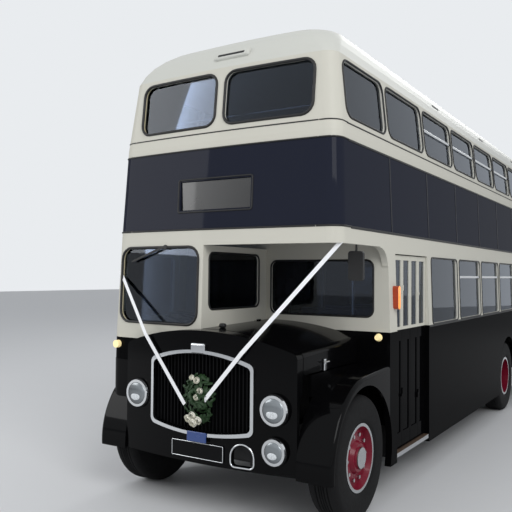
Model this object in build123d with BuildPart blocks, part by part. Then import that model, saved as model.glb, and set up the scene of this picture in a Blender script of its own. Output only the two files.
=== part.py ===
from build123d import *
import math
import os

os.makedirs("parts", exist_ok=True)

# Overall sizes of the half-cab double decker, in mm
# Stations run back from the front cowl, X points to the nearside, Z is height over the road
LENGTH = 9144
HALF_WIDTH = 1219
FRONT_AXLE = 724
WHEELBASE = 5664
REAR_AXLE = FRONT_AXLE + WHEELBASE
AXLE_Z = 525
BOUQUET_PROUD = 110
ORIGIN = (LENGTH - BOUQUET_PROUD) / 2
FIT = 0.3

# Body shell: wall, glass and the heights where the shape changes
WALL = 60
GLASS_IN = 22
GLASS = 6
LAP = 15
SKIRT_Z = 320
WAIST_Z = 1535
DECK_Z = 2330
BAND_Z = 2465
RAIL_Z = 3260
CANT_Z = 3930
FRONT_BOW = 45
REAR_BOW = 40
FRONT_RADIUS = 125
REAR_RADIUS = 260
REAR = LENGTH - 30

# Plan outline of the body at each height: level, half width, front station, rear station
BODY = [
    (SKIRT_Z, HALF_WIDTH, 126, REAR),
    (WAIST_Z, HALF_WIDTH, 165, REAR),
    (DECK_Z, 1194.2, 190.6, REAR),
    (BAND_Z, 1190, 195, REAR),
    (RAIL_Z, 1157, 232, REAR),
    (CANT_Z, 1087, 300, REAR - 54),
]
LOWER = BODY[:3]
UPPER = BODY[2:]

# Roof dome outside: level, half width, front station, rear station, corner radius
DOME = [
    (CANT_Z, 1087, 300, REAR - 54, FRONT_RADIUS),
    (4020, 1062, 332, REAR - 80, 170),
    (4095, 1028, 380, REAR - 110, 210),
    (4165, 980, 446, REAR - 160, 255),
    (4225, 920, 530, REAR - 220, 300),
    (4275, 842, 645, REAR - 305, 335),
    (4315, 740, 795, REAR - 410, 360),
    (4345, 600, 990, REAR - 560, 360),
    (4362, 430, 1230, REAR - 720, 360),
]
# Roof lining: the same rows brought in by a step and let down by a drop
LINING = [(WALL, 0), (54, 14), (48, 28), (44, 33), (40, 36), (33, 38), (25, 39), (12, 40), (0, 40)]

# Bays: pillar lines on both decks
FIRST_PILLAR = 1400
BAY = 1105
PILLARS = [FIRST_PILLAR + BAY * k for k in range(7)]
BULKHEAD = 1280
DOORWAY = (1470, 2430)
SIDE_END = 8850
FRONT_JOINT = 985

# Side windows: from station, to station
UPPER_WINDOWS = [(480, 1360)]
UPPER_WINDOWS += [(PILLARS[k] + 40, PILLARS[k + 1] - 40) for k in range(6)]
UPPER_WINDOWS += [(PILLARS[6] + 40, 8785)]
LOWER_WINDOWS = [(PILLARS[k] + 52, PILLARS[k + 1] - 50) for k in range(1, 6)]
LOWER_WINDOWS += [(PILLARS[6] + 52, 8770)]
STAIR_WINDOW = [(1500, PILLARS[1] - 50)]
UPPER_SILL, UPPER_HEAD, UPPER_CORNER = 3400, 3880, 90
LOWER_SILL, LOWER_HEAD, LOWER_CORNER = 1560, 2262, 45


def along(station):
    return station - ORIGIN


def plan(level, half, front, rear, inset, front_radius, rear_radius):
    # closed plan outline with a bowed front and rear and round corners
    x = half - inset
    y_front = along(front + inset)
    y_rear = along(rear - inset)
    with BuildSketch(Plane.XY.offset(level)) as outline:
        with BuildLine():
            ThreePointArc((-x, y_front + FRONT_BOW), (0, y_front), (x, y_front + FRONT_BOW))
            Line((x, y_front + FRONT_BOW), (x, y_rear - REAR_BOW))
            ThreePointArc((x, y_rear - REAR_BOW), (0, y_rear), (-x, y_rear - REAR_BOW))
            Line((-x, y_rear - REAR_BOW), (-x, y_front + FRONT_BOW))
        make_face()
        fillet(outline.vertices().sort_by(Axis.Y)[:2], front_radius)
        fillet(outline.vertices().sort_by(Axis.Y)[-2:], rear_radius)
    return outline.sketch


def body_solid(rows, inset):
    # the body between the given rows, brought in by an inset
    sections = []
    for level, half, front, rear in rows:
        sections.append(plan(level, half, front, rear, inset, FRONT_RADIUS - inset, REAR_RADIUS - inset))
    with BuildPart() as solid:
        loft(sections, ruled=True)
    return solid.part


def save(builder, name):
    builder.part.label = name
    export_step(builder.part, f"parts/{name}.step")


def hinge(frame, skin, pin, barrel, reach):
    # a hinge on its axis: the frame's x runs along the door and its y in to the skin
    with BuildPart() as still:
        with BuildSketch(frame):
            Circle(barrel)
            with Locations((-reach / 2, (skin + 3 - barrel) / 2)):
                Rectangle(reach, skin + 3 + barrel)
        extrude(amount=24)
        with BuildSketch(frame.offset(24)):
            Circle(pin)
        extrude(amount=56)
    with BuildPart() as turning:
        with BuildSketch(frame.offset(25)):
            Circle(barrel)
            with Locations((pin + 0.6 + (reach - pin - 0.6) / 2, (skin + 3 - barrel) / 2)):
                Rectangle(reach - pin - 0.6, skin + 3 + barrel)
            Circle(pin + 0.05, mode=Mode.SUBTRACT)
        extrude(amount=54)
    return still.part, turning.part


lower_skin = body_solid(LOWER, 0)
lower_room = body_solid(LOWER, WALL)
upper_skin = body_solid(UPPER, 0)
upper_room = body_solid(UPPER, WALL)

# Window openings and the rebates that take the glass
with BuildPart() as upper_lights:
    with BuildSketch(Plane.YZ.offset(FRONT_JOINT)):
        for start, end in UPPER_WINDOWS:
            with Locations((along((start + end) / 2), (UPPER_SILL + UPPER_HEAD) / 2)):
                RectangleRounded(end - start, UPPER_HEAD - UPPER_SILL, UPPER_CORNER)
    extrude(amount=400)

with BuildPart() as upper_rebates:
    with BuildSketch(Plane.YZ.offset(FRONT_JOINT)):
        for start, end in UPPER_WINDOWS:
            with Locations((along((start + end) / 2), (UPPER_SILL + UPPER_HEAD) / 2)):
                Rectangle(end - start + 2 * LAP, UPPER_HEAD - UPPER_SILL + 2 * LAP)
    extrude(amount=400)
    add(body_solid(UPPER, GLASS_IN), mode=Mode.INTERSECT)

with BuildPart() as nearside_lights:
    with BuildSketch(Plane.YZ):
        for start, end in LOWER_WINDOWS:
            with Locations((along((start + end) / 2), (LOWER_SILL + LOWER_HEAD) / 2)):
                RectangleRounded(end - start, LOWER_HEAD - LOWER_SILL, LOWER_CORNER)
    extrude(amount=1400)

with BuildPart() as nearside_rebates:
    with BuildSketch(Plane.YZ):
        for start, end in LOWER_WINDOWS:
            with Locations((along((start + end) / 2), (LOWER_SILL + LOWER_HEAD) / 2)):
                Rectangle(end - start + 2 * LAP, LOWER_HEAD - LOWER_SILL + 2 * LAP)
    extrude(amount=1400)
    add(body_solid(LOWER, GLASS_IN), mode=Mode.INTERSECT)

with BuildPart() as offside_lights:
    with BuildSketch(Plane.YZ):
        for start, end in STAIR_WINDOW + LOWER_WINDOWS:
            with Locations((along((start + end) / 2), (LOWER_SILL + LOWER_HEAD) / 2)):
                RectangleRounded(end - start, LOWER_HEAD - LOWER_SILL, LOWER_CORNER)
    extrude(amount=-1400)

with BuildPart() as offside_rebates:
    with BuildSketch(Plane.YZ):
        for start, end in STAIR_WINDOW + LOWER_WINDOWS:
            with Locations((along((start + end) / 2), (LOWER_SILL + LOWER_HEAD) / 2)):
                Rectangle(end - start + 2 * LAP, LOWER_HEAD - LOWER_SILL + 2 * LAP)
    extrude(amount=-1400)
    add(body_solid(LOWER, GLASS_IN), mode=Mode.INTERSECT)

# Front windows of the upper deck and the driver's windscreen
FRONT_LIGHT = (55, 918, 3408, 3874, 95)
SCREEN = (-1100, -172, 1622, 2308, 105)
SCREEN_LAP = 12
front_x = (FRONT_LIGHT[0] + FRONT_LIGHT[1]) / 2
front_z = (FRONT_LIGHT[2] + FRONT_LIGHT[3]) / 2
front_width = FRONT_LIGHT[1] - FRONT_LIGHT[0]
front_height = FRONT_LIGHT[3] - FRONT_LIGHT[2]

with BuildPart() as front_lights:
    with BuildSketch(Plane.XZ):
        for side in (-1, 1):
            with Locations((side * front_x, front_z)):
                RectangleRounded(front_width, front_height, FRONT_LIGHT[4])
    extrude(amount=LENGTH)

with BuildPart() as front_rebates:
    with BuildSketch(Plane.XZ):
        for side in (-1, 1):
            with Locations((side * front_x, front_z)):
                Rectangle(front_width + 2 * LAP, front_height + 2 * LAP)
    extrude(amount=LENGTH)
    add(body_solid(UPPER, GLASS_IN), mode=Mode.INTERSECT)

with BuildPart() as screen_light:
    with BuildSketch(Plane.XZ):
        with Locations(((SCREEN[0] + SCREEN[1]) / 2, (SCREEN[2] + SCREEN[3]) / 2)):
            RectangleRounded(SCREEN[1] - SCREEN[0], SCREEN[3] - SCREEN[2], SCREEN[4])
    extrude(amount=LENGTH)

with BuildPart() as screen_rebate:
    with BuildSketch(Plane.XZ):
        with Locations(((SCREEN[0] + SCREEN[1]) / 2, (SCREEN[2] + SCREEN[3]) / 2)):
            Rectangle(SCREEN[1] - SCREEN[0] + 2 * SCREEN_LAP, SCREEN[3] - SCREEN[2] + 2 * SCREEN_LAP)
    extrude(amount=LENGTH)
    add(body_solid(LOWER, GLASS_IN), mode=Mode.INTERSECT)

# Upper deck: front panel between the corner joints, with a shallow box for the blank sign
SIGN = (-400, 368, 2645, 2910)
SIGN_DEPTH = 18

with BuildPart() as upper_front:
    add(upper_skin)
    add(upper_room, mode=Mode.SUBTRACT)
    with BuildSketch(Plane.XY.offset(DECK_Z)):
        with Locations((0, along(400))):
            Rectangle(2 * FRONT_JOINT, 1000)
    extrude(amount=CANT_Z - DECK_Z, mode=Mode.INTERSECT)
    add(front_lights.part, mode=Mode.SUBTRACT)
    add(front_rebates.part, mode=Mode.SUBTRACT)
    with BuildSketch(Plane(origin=(0, along(222 + SIGN_DEPTH), 0), x_dir=(1, 0, 0), z_dir=(0, -1, 0))):
        with Locations(((SIGN[0] + SIGN[1]) / 2, (SIGN[2] + SIGN[3]) / 2)):
            Rectangle(SIGN[1] - SIGN[0], SIGN[3] - SIGN[2])
    extrude(amount=200, mode=Mode.SUBTRACT)
save(upper_front, "upper_front")

# Upper deck sides, each with its front corner
with BuildPart() as upper_side_nearside:
    add(upper_skin)
    add(upper_room, mode=Mode.SUBTRACT)
    with BuildSketch(Plane.YZ.offset(FRONT_JOINT)):
        with Locations((along(SIDE_END / 2), (DECK_Z + CANT_Z) / 2)):
            Rectangle(SIDE_END, CANT_Z - DECK_Z)
    extrude(amount=400, mode=Mode.INTERSECT)
    add(upper_lights.part, mode=Mode.SUBTRACT)
    add(upper_rebates.part, mode=Mode.SUBTRACT)
save(upper_side_nearside, "upper_side_nearside")

with BuildPart() as upper_side_offside:
    add(upper_side_nearside.part.mirror(Plane.YZ))
save(upper_side_offside, "upper_side_offside")

# Emergency doors: hinge line just outside the rear skin
EXIT_AXIS = REAR + 8
UPPER_EXIT = (-400, 400, 2960, 3880)
LOWER_EXIT = (-330, 330, 760, 2270)
UPPER_HINGES = (3120, 3240)
LOWER_HINGES = (1000, 2000)


def exit_hinge(x, top):
    frame = Plane(origin=(x, along(EXIT_AXIS), top), x_dir=(1, 0, 0), z_dir=(0, 0, -1))
    return hinge(frame, 14, 5, 7.5, 34)


# Upper deck rear with the opening of the emergency door
with BuildPart() as upper_rear:
    add(upper_skin)
    add(upper_room, mode=Mode.SUBTRACT)
    with BuildSketch(Plane.XY.offset(DECK_Z)):
        with Locations((0, along(SIDE_END + 500))):
            Rectangle(3000, 1000)
    extrude(amount=CANT_Z - DECK_Z, mode=Mode.INTERSECT)
    with BuildSketch(Plane.XZ):
        with Locations(((UPPER_EXIT[0] + UPPER_EXIT[1]) / 2, (UPPER_EXIT[2] + UPPER_EXIT[3]) / 2)):
            Rectangle(UPPER_EXIT[1] - UPPER_EXIT[0], UPPER_EXIT[3] - UPPER_EXIT[2])
    extrude(amount=-LENGTH, mode=Mode.SUBTRACT)
    for z in UPPER_HINGES:
        add(exit_hinge(UPPER_EXIT[0], z)[0])
save(upper_rear, "upper_rear")

# Roof dome with its lining
with BuildPart() as roof:
    outer_rows = []
    inner_rows = []
    for (level, half, front, rear, radius), (step, drop) in zip(DOME, LINING):
        rear_radius = REAR_RADIUS + (radius - FRONT_RADIUS) / 2
        outer_rows.append(plan(level, half, front, rear, 0, radius, rear_radius))
        inner_rows.append(plan(level - drop, half, front, rear, step, radius - step, rear_radius - step))
    loft(outer_rows, ruled=True)
    loft(inner_rows, ruled=True, mode=Mode.SUBTRACT)
save(roof, "roof")

# Upper floor, which is also the canopy over the bonnet, with the stairwell
UPPER_FLOOR = (2420, 2460)
STAIRWELL = (-1140, -545, 1440, 3050 + FIT)
with BuildPart() as upper_floor:
    add(upper_room)
    with BuildSketch(Plane.XY.offset(UPPER_FLOOR[0])):
        with Locations((0, along(LENGTH / 2))):
            Rectangle(3000, LENGTH)
    extrude(amount=UPPER_FLOOR[1] - UPPER_FLOOR[0], mode=Mode.INTERSECT)
    with BuildSketch(Plane.XY.offset(UPPER_FLOOR[0])):
        with Locations(((STAIRWELL[0] + STAIRWELL[1]) / 2, along((STAIRWELL[2] + STAIRWELL[3]) / 2))):
            Rectangle(STAIRWELL[1] - STAIRWELL[0], STAIRWELL[3] - STAIRWELL[2])
    extrude(amount=UPPER_FLOOR[1] - UPPER_FLOOR[0], mode=Mode.SUBTRACT)
save(upper_floor, "upper_floor")

# Lower deck sides
ARCH_RADIUS = 610
WING_TOP = 1250
with BuildPart() as lower_side_nearside:
    add(lower_skin)
    add(lower_room, mode=Mode.SUBTRACT)
    with BuildSketch(Plane.YZ.offset(1000)):
        with Locations((along((DOORWAY[1] + SIDE_END) / 2), (SKIRT_Z + DECK_Z) / 2)):
            Rectangle(SIDE_END - DOORWAY[1], DECK_Z - SKIRT_Z)
        with Locations((along(REAR_AXLE), AXLE_Z)):
            Circle(ARCH_RADIUS, mode=Mode.SUBTRACT)
    extrude(amount=400, mode=Mode.INTERSECT)
    add(nearside_lights.part, mode=Mode.SUBTRACT)
    add(nearside_rebates.part, mode=Mode.SUBTRACT)
save(lower_side_nearside, "lower_side_nearside")

CAB_DOOR = (430, 1138)
CAB_REAR_POST = 1150
with BuildPart() as lower_side_offside:
    add(lower_skin)
    add(lower_room, mode=Mode.SUBTRACT)
    with BuildSketch(Plane.YZ.offset(-1000)):
        with Locations((along((BULKHEAD + SIDE_END) / 2), (SKIRT_Z + DECK_Z) / 2)):
            Rectangle(SIDE_END - BULKHEAD, DECK_Z - SKIRT_Z)
        with Locations((along((CAB_REAR_POST + 1400) / 2), (WING_TOP + DECK_Z) / 2)):
            Rectangle(1400 - CAB_REAR_POST, DECK_Z - WING_TOP)
        with Locations((along(REAR_AXLE), AXLE_Z), (along(FRONT_AXLE), AXLE_Z)):
            Circle(ARCH_RADIUS, mode=Mode.SUBTRACT)
    extrude(amount=-400, mode=Mode.INTERSECT)
    add(offside_lights.part, mode=Mode.SUBTRACT)
    add(offside_rebates.part, mode=Mode.SUBTRACT)
save(lower_side_offside, "lower_side_offside")

# Lower rear with the opening of the emergency door
with BuildPart() as lower_rear:
    add(lower_skin)
    add(lower_room, mode=Mode.SUBTRACT)
    with BuildSketch(Plane.XY.offset(SKIRT_Z)):
        with Locations((0, along(SIDE_END + 500))):
            Rectangle(3000, 1000)
    extrude(amount=DECK_Z - SKIRT_Z, mode=Mode.INTERSECT)
    with BuildSketch(Plane.XZ):
        with Locations(((LOWER_EXIT[0] + LOWER_EXIT[1]) / 2, (LOWER_EXIT[2] + LOWER_EXIT[3]) / 2)):
            Rectangle(LOWER_EXIT[1] - LOWER_EXIT[0], LOWER_EXIT[3] - LOWER_EXIT[2])
    extrude(amount=-LENGTH, mode=Mode.SUBTRACT)
    for z in LOWER_HINGES:
        add(exit_hinge(LOWER_EXIT[0], z)[0])
save(lower_rear, "lower_rear")

# Bulkhead between engine and saloon, stepped back over the wheels, with the front door post
BULK_STEP_Z = 1130
BULK_LOW = 1340
SHEET = 40
FLOOR = (680, 720)
BULK_WINDOWS = [(-1010, -260), (-50, 1045)]
BULK_SILL, BULK_HEAD = 1690, 2205
with BuildPart() as front_bulkhead:
    with BuildSketch(Plane.YZ.offset(-1300)):
        with BuildLine():
            Polyline(
                (along(BULKHEAD), DECK_Z + 90 - FIT),
                (along(BULKHEAD), BULK_STEP_Z),
                (along(BULK_LOW), BULK_STEP_Z),
                (along(BULK_LOW), FLOOR[0]),
                (along(BULK_LOW + SHEET), FLOOR[0]),
                (along(BULK_LOW + SHEET), BULK_STEP_Z + SHEET),
                (along(BULKHEAD + SHEET), BULK_STEP_Z + SHEET),
                (along(BULKHEAD + SHEET), DECK_Z + 90 - FIT),
                close=True,
            )
        make_face()
    extrude(amount=2600)
    add(body_solid(BODY, WALL + FIT), mode=Mode.INTERSECT)
    with BuildSketch(Plane.XZ.offset(-along(BULKHEAD + SHEET))):
        for start, end in BULK_WINDOWS:
            with Locations(((start + end) / 2, (BULK_SILL + BULK_HEAD) / 2)):
                RectangleRounded(end - start, BULK_HEAD - BULK_SILL, 60)
    extrude(amount=200, mode=Mode.SUBTRACT)
    with BuildSketch(Plane.XZ.offset(-along(BULKHEAD + SHEET))):
        for start, end in BULK_WINDOWS:
            with Locations(((start + end) / 2, (BULK_SILL + BULK_HEAD) / 2)):
                Rectangle(end - start + 2 * LAP, BULK_HEAD - BULK_SILL + 2 * LAP)
    extrude(amount=SHEET - 15, mode=Mode.SUBTRACT)
save(front_bulkhead, "front_bulkhead")

# Entrance: front post, header over the doors and the bracket that carries the canopy
DOOR_HEAD = 2278
BRACKET = 175
with BuildPart() as entrance_frame:
    add(lower_skin)
    add(lower_room, mode=Mode.SUBTRACT)
    with BuildSketch(Plane.YZ.offset(1000)):
        with Locations((along((BULKHEAD + DOORWAY[0]) / 2), (SKIRT_Z + DECK_Z) / 2)):
            Rectangle(DOORWAY[0] - BULKHEAD, DECK_Z - SKIRT_Z)
        with Locations((along((DOORWAY[0] + DOORWAY[1]) / 2), (DOOR_HEAD + DECK_Z) / 2)):
            Rectangle(DOORWAY[1] - DOORWAY[0], DECK_Z - DOOR_HEAD)
        with Locations((along(BULKHEAD - BRACKET / 2), DECK_Z - BRACKET / 2)):
            Rectangle(BRACKET, BRACKET)
        with Locations((along(BULKHEAD - BRACKET - 8), DECK_Z - BRACKET - 8)):
            Circle(BRACKET, mode=Mode.SUBTRACT)
        with Locations((along(FRONT_AXLE), AXLE_Z)):
            Circle(ARCH_RADIUS, mode=Mode.SUBTRACT)
    extrude(amount=400, mode=Mode.INTERSECT)
save(entrance_frame, "entrance_frame")

# Driver's cab: screen panel, offside corner, inner wall and floor
COWL_HALF = 900
CAB_BASE = 1430
CAB_WALL = (-150, -110)
CAB_JOINT = -1125
CAB_AXIS = (-HALF_WIDTH - 8, CAB_DOOR[0] - 3)
CAB_HINGES = (1380, 1500)


def cab_hinge(top):
    frame = Plane(origin=(CAB_AXIS[0], along(CAB_AXIS[1]), top), x_dir=(0, 1, 0), z_dir=(0, 0, -1))
    return hinge(frame, 14, 5, 7.5, 34)


with BuildPart() as cab_corner:
    add(lower_skin)
    add(lower_room, mode=Mode.SUBTRACT)
    with BuildSketch(Plane.XY.offset(WING_TOP)):
        with Locations((CAB_JOINT - 150, along((CAB_DOOR[0] - 8) / 2))):
            Rectangle(300, CAB_DOOR[0] - 8)
    extrude(amount=DECK_Z - WING_TOP, mode=Mode.INTERSECT)
    for z in CAB_HINGES:
        add(cab_hinge(z)[0])

with BuildPart() as cab_apron:
    add(lower_skin)
    add(lower_room, mode=Mode.SUBTRACT)
    with BuildSketch(Plane.XY.offset(WING_TOP)):
        with Locations(((CAB_JOINT - COWL_HALF - FIT) / 2 - 5, along(300))):
            Rectangle(-COWL_HALF - FIT - CAB_JOINT + 10, 600)
    extrude(amount=CAB_BASE + 10 - WING_TOP, mode=Mode.INTERSECT)

with BuildPart() as cab_front:
    add(lower_skin)
    add(lower_room, mode=Mode.SUBTRACT)
    with BuildSketch(Plane.XY.offset(CAB_BASE)):
        with Locations(((CAB_JOINT + CAB_WALL[1]) / 2, along(300))):
            Rectangle(CAB_WALL[1] - CAB_JOINT, 600)
    extrude(amount=DECK_Z - CAB_BASE, mode=Mode.INTERSECT)
    add(screen_light.part, mode=Mode.SUBTRACT)
    add(screen_rebate.part, mode=Mode.SUBTRACT)
    add(cab_corner.part)
    add(cab_apron.part)
save(cab_front, "cab_front")

CAB_LIGHT = (285, 1120, 1760, 2258)
# bonnet lid along the cab wall: X of its edges, then station, crown and nearside height at its ends
BONNET = (-100, 900)
BONNET_ENDS = [(90, 1590, 1430), (BULKHEAD - 8, 1620, 1488)]
BONNET_HINGES = (420, 1050)


def lid_edge(station):
    # height of the lid's hinged edge
    (s0, crown0, edge0), (s1, crown1, edge1) = BONNET_ENDS
    share = (BONNET[0] / BONNET[1]) ** 2
    start = crown0 - (crown0 - edge0) * share
    end = crown1 - (crown1 - edge1) * share
    return start + (end - start) * (station - s0) / (s1 - s0)


def lid_hinge(station):
    rise = lid_edge(station + 1) - lid_edge(station)
    frame = Plane(
        origin=(BONNET[0] - 4, along(station), lid_edge(station) + 6),
        x_dir=(1, 0, 0),
        z_dir=(0, 1, rise),
    )
    return hinge(frame, 8, 3.5, 5.5, 24)


with BuildPart() as cab_wall:
    with BuildSketch(Plane.YZ.offset(CAB_WALL[0])):
        with Locations((along((150 + BULKHEAD - FIT) / 2), (960 + DECK_Z) / 2)):
            Rectangle(BULKHEAD - FIT - 150, DECK_Z - 960)
    extrude(amount=CAB_WALL[1] - CAB_WALL[0])
    add(lower_room, mode=Mode.INTERSECT)
    with BuildSketch(Plane.YZ.offset(CAB_WALL[1])):
        with Locations((along((CAB_LIGHT[0] + CAB_LIGHT[1]) / 2), (CAB_LIGHT[2] + CAB_LIGHT[3]) / 2)):
            RectangleRounded(CAB_LIGHT[1] - CAB_LIGHT[0], CAB_LIGHT[3] - CAB_LIGHT[2], 55)
    extrude(amount=-100, mode=Mode.SUBTRACT)
    with BuildSketch(Plane.YZ.offset(CAB_WALL[1] - 15)):
        with Locations((along((CAB_LIGHT[0] + CAB_LIGHT[1]) / 2), (CAB_LIGHT[2] + CAB_LIGHT[3]) / 2)):
            Rectangle(CAB_LIGHT[1] - CAB_LIGHT[0] + 2 * LAP, CAB_LIGHT[3] - CAB_LIGHT[2] + 2 * LAP)
    extrude(amount=-100, mode=Mode.SUBTRACT)
    for station in BONNET_HINGES:
        add(lid_hinge(station)[0])
save(cab_wall, "cab_wall")

CAB_FLOOR_Z = 1000
CAB_STEP_X = -680
with BuildPart() as cab_floor:
    with BuildSketch(Plane.XZ.offset(-along(BULKHEAD - FIT))):
        with BuildLine():
            Polyline(
                (CAB_WALL[0] - FIT, CAB_FLOOR_Z),
                (CAB_WALL[0] - FIT, CAB_FLOOR_Z - 40),
                (CAB_STEP_X, CAB_FLOOR_Z - 40),
                (CAB_STEP_X, 1095),
                (-COWL_HALF, 1095),
                (-COWL_HALF, 1130),
                (CAB_STEP_X + 35, 1130),
                (CAB_STEP_X + 35, CAB_FLOOR_Z),
                close=True,
            )
        make_face()
    extrude(amount=1200)
    add(lower_room, mode=Mode.INTERSECT)

# Front cowl: bowed sheet with an arched top, deeper over the wings, open for grille and lamps
COWL_BOW = 90
COWL_SHEET = 40
COWL_BASE = 465
COWL_DEEP_Z = 1090
ARCH_TOP, ARCH_END = 1590, 1430
SHOULDER = 55
LAMP = (720, 985, 128)
FOG = (724, 655, 112)
LAMP_FACE = 34


def bowed(inset, back, half):
    # plan band behind the cowl's bowed front
    with BuildSketch(Plane.XY) as band:
        with BuildLine():
            drop = COWL_BOW * (half / COWL_HALF) ** 2
            ThreePointArc((-half, along(inset + drop)), (0, along(inset)), (half, along(inset + drop)))
            Polyline(
                (half, along(inset + drop)),
                (half, along(back)),
                (-half, along(back)),
                (-half, along(inset + drop)),
            )
        make_face()
    return band.sketch


def arched(half, base, top, end, down):
    # front view of the cowl, seen from ahead
    with BuildSketch(Plane.XZ.offset(-along(400))) as face:
        with BuildLine():
            ThreePointArc((-half, end - down), (0, top - down), (half, end - down))
            Polyline((half, end - down), (half, base), (-half, base), (-half, end - down))
        make_face()
        fillet(face.vertices().sort_by(Axis.Y)[-2:], SHOULDER)
    return face.sketch


GRILLE_HALF = 512
GRILLE_TOP, GRILLE_TOP_END = 1398, 1300
GRILLE_LOW, GRILLE_LOW_END = 730, 785
FRAME_WIDTH = 28
# low opening by the fog lamp: X, base, width, straight height, rise of its arched top
VENT = (428, 497, 195, 120, 75)


def grille_outline(grow):
    # opening of the grille, arched above and sagging below
    half = GRILLE_HALF + grow
    top_end = GRILLE_TOP_END + grow
    low_end = GRILLE_LOW_END - grow
    with BuildSketch(Plane.XZ.offset(-along(400))) as face:
        with BuildLine():
            ThreePointArc((-half, top_end), (0, GRILLE_TOP + grow), (half, top_end))
            Line((half, top_end), (half, low_end))
            ThreePointArc((half, low_end), (0, GRILLE_LOW - grow), (-half, low_end))
            Line((-half, low_end), (-half, top_end))
        make_face()
        fillet(face.vertices(), 45 + grow / 2)
    return face.sketch


with BuildPart() as cowl_cavity:
    add(bowed(COWL_SHEET, 500, COWL_HALF - 30))
    extrude(amount=2000)
    extrude(arched(COWL_HALF - 30, 0, ARCH_TOP, ARCH_END, 40), amount=600, mode=Mode.INTERSECT)

with BuildPart() as cowl_deep:
    add(bowed(0, 320, COWL_HALF))
    extrude(amount=2000)
    extrude(arched(COWL_HALF, COWL_DEEP_Z, ARCH_TOP, ARCH_END, 0), amount=600, mode=Mode.INTERSECT)
    add(lower_skin, mode=Mode.SUBTRACT)

with BuildPart() as front_cowl:
    add(bowed(0, 320, COWL_HALF))
    extrude(amount=2000)
    extrude(arched(COWL_HALF, COWL_BASE, ARCH_TOP, ARCH_END, 0), amount=600, mode=Mode.INTERSECT)
    extrude(bowed(COWL_SHEET, 500, COWL_HALF + 100), amount=2000, mode=Mode.SUBTRACT)
    add(cowl_deep.part)
    add(cowl_cavity.part, mode=Mode.SUBTRACT)
    with BuildSketch(Plane.XZ.offset(-along(LAMP_FACE + 70))):
        with Locations((-LAMP[0], LAMP[1]), (LAMP[0], LAMP[1])):
            Circle(LAMP[2] + 6)
        with Locations((FOG[0], FOG[1])):
            Circle(FOG[2] + 6)
    extrude(amount=70)
    with BuildSketch(Plane.XZ.offset(-along(400))):
        with Locations((-LAMP[0], LAMP[1]), (LAMP[0], LAMP[1])):
            Circle(LAMP[2] - 24 + FIT)
        with Locations((FOG[0], FOG[1])):
            Circle(FOG[2] - 24 + FIT)
        with Locations((VENT[0], VENT[1] + VENT[3] / 2)):
            RectangleRounded(VENT[2], VENT[3], 30)
        with Locations((VENT[0], VENT[1] + VENT[3] - 24)):
            Ellipse(VENT[2] / 2, VENT[4])
    extrude(amount=500, mode=Mode.SUBTRACT)
    extrude(grille_outline(0), amount=600, mode=Mode.SUBTRACT)
save(front_cowl, "front_cowl")

with BuildPart() as grille_frame:
    add(bowed(-24, 320, COWL_HALF))
    extrude(amount=2000)
    extrude(bowed(-FIT, 400, COWL_HALF + 100), amount=2000, mode=Mode.SUBTRACT)
    extrude(grille_outline(FRAME_WIDTH), amount=600, mode=Mode.INTERSECT)
    extrude(grille_outline(0), amount=600, mode=Mode.SUBTRACT)
save(grille_frame, "grille_frame")

GRILLE_FACE = 48
GRILLE_BACK = 76
SLATS = 27
with BuildPart() as slats:
    with BuildSketch(Plane.XZ.offset(-along(GRILLE_BACK))):
        with GridLocations(2 * GRILLE_HALF / SLATS, 1, SLATS, 1):
            with Locations((0, (GRILLE_TOP + GRILLE_LOW) / 2)):
                Rectangle(9, GRILLE_TOP - GRILLE_LOW)
    extrude(amount=GRILLE_BACK - GRILLE_FACE)
    extrude(grille_outline(-4), amount=600, mode=Mode.INTERSECT)

with BuildPart() as grille:
    with BuildSketch(Plane.XZ.offset(-along(GRILLE_BACK + 12))):
        with Locations((0, (GRILLE_TOP + GRILLE_LOW) / 2)):
            Rectangle(2 * GRILLE_HALF + 80, GRILLE_TOP - GRILLE_LOW + 40)
    extrude(amount=12)
    add(slats.part)
save(grille, "grille")

# Front wings: round over the wheels, flat along the top, hollow for the turning wheel
WING_CENTRE = (790, 500)
WING_RADIUS = 720
WING_BASE = 450
WING_INNER = COWL_HALF + FIT
WING_SHEET = 25


def wing_profile(inset, end, base):
    # side view of a wing
    radius = WING_RADIUS - inset
    start = WING_CENTRE[0] - math.sqrt(radius ** 2 - (WING_CENTRE[1] - base) ** 2)
    middle = math.radians(135)
    with BuildSketch(Plane.YZ) as face:
        with BuildLine():
            ThreePointArc(
                (along(start), base),
                (
                    along(WING_CENTRE[0] + radius * math.cos(middle)),
                    WING_CENTRE[1] + radius * math.sin(middle),
                ),
                (along(WING_CENTRE[0]), WING_CENTRE[1] + radius),
            )
            Polyline(
                (along(WING_CENTRE[0]), WING_CENTRE[1] + radius),
                (along(end), WING_TOP - FIT - inset),
                (along(end), base),
                (along(start), base),
            )
        make_face()
    return face.sketch


with BuildPart() as wing_hollow:
    extrude(wing_profile(WING_SHEET, BULKHEAD + 100, 300), amount=HALF_WIDTH - WING_SHEET)

with BuildPart() as wing:
    extrude(wing_profile(0, BULKHEAD - FIT, WING_BASE), amount=HALF_WIDTH)
    fillet(wing.faces().sort_by(Axis.X)[-1].edges().group_by(Axis.Z)[-1], 35)
    with BuildSketch(Plane.YZ):
        with Locations((along(BULK_LOW), 1000)):
            Rectangle(3000, 3000)
    extrude(amount=WING_INNER, mode=Mode.SUBTRACT)
    add(wing_hollow.part, mode=Mode.SUBTRACT)
    with BuildSketch(Plane.YZ):
        with Locations((along(FRONT_AXLE), AXLE_Z)):
            Circle(ARCH_RADIUS)
        with Locations((along(FRONT_AXLE), AXLE_Z - ARCH_RADIUS)):
            Rectangle(2 * ARCH_RADIUS, 2 * ARCH_RADIUS)
    extrude(amount=1400, mode=Mode.SUBTRACT)

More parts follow.
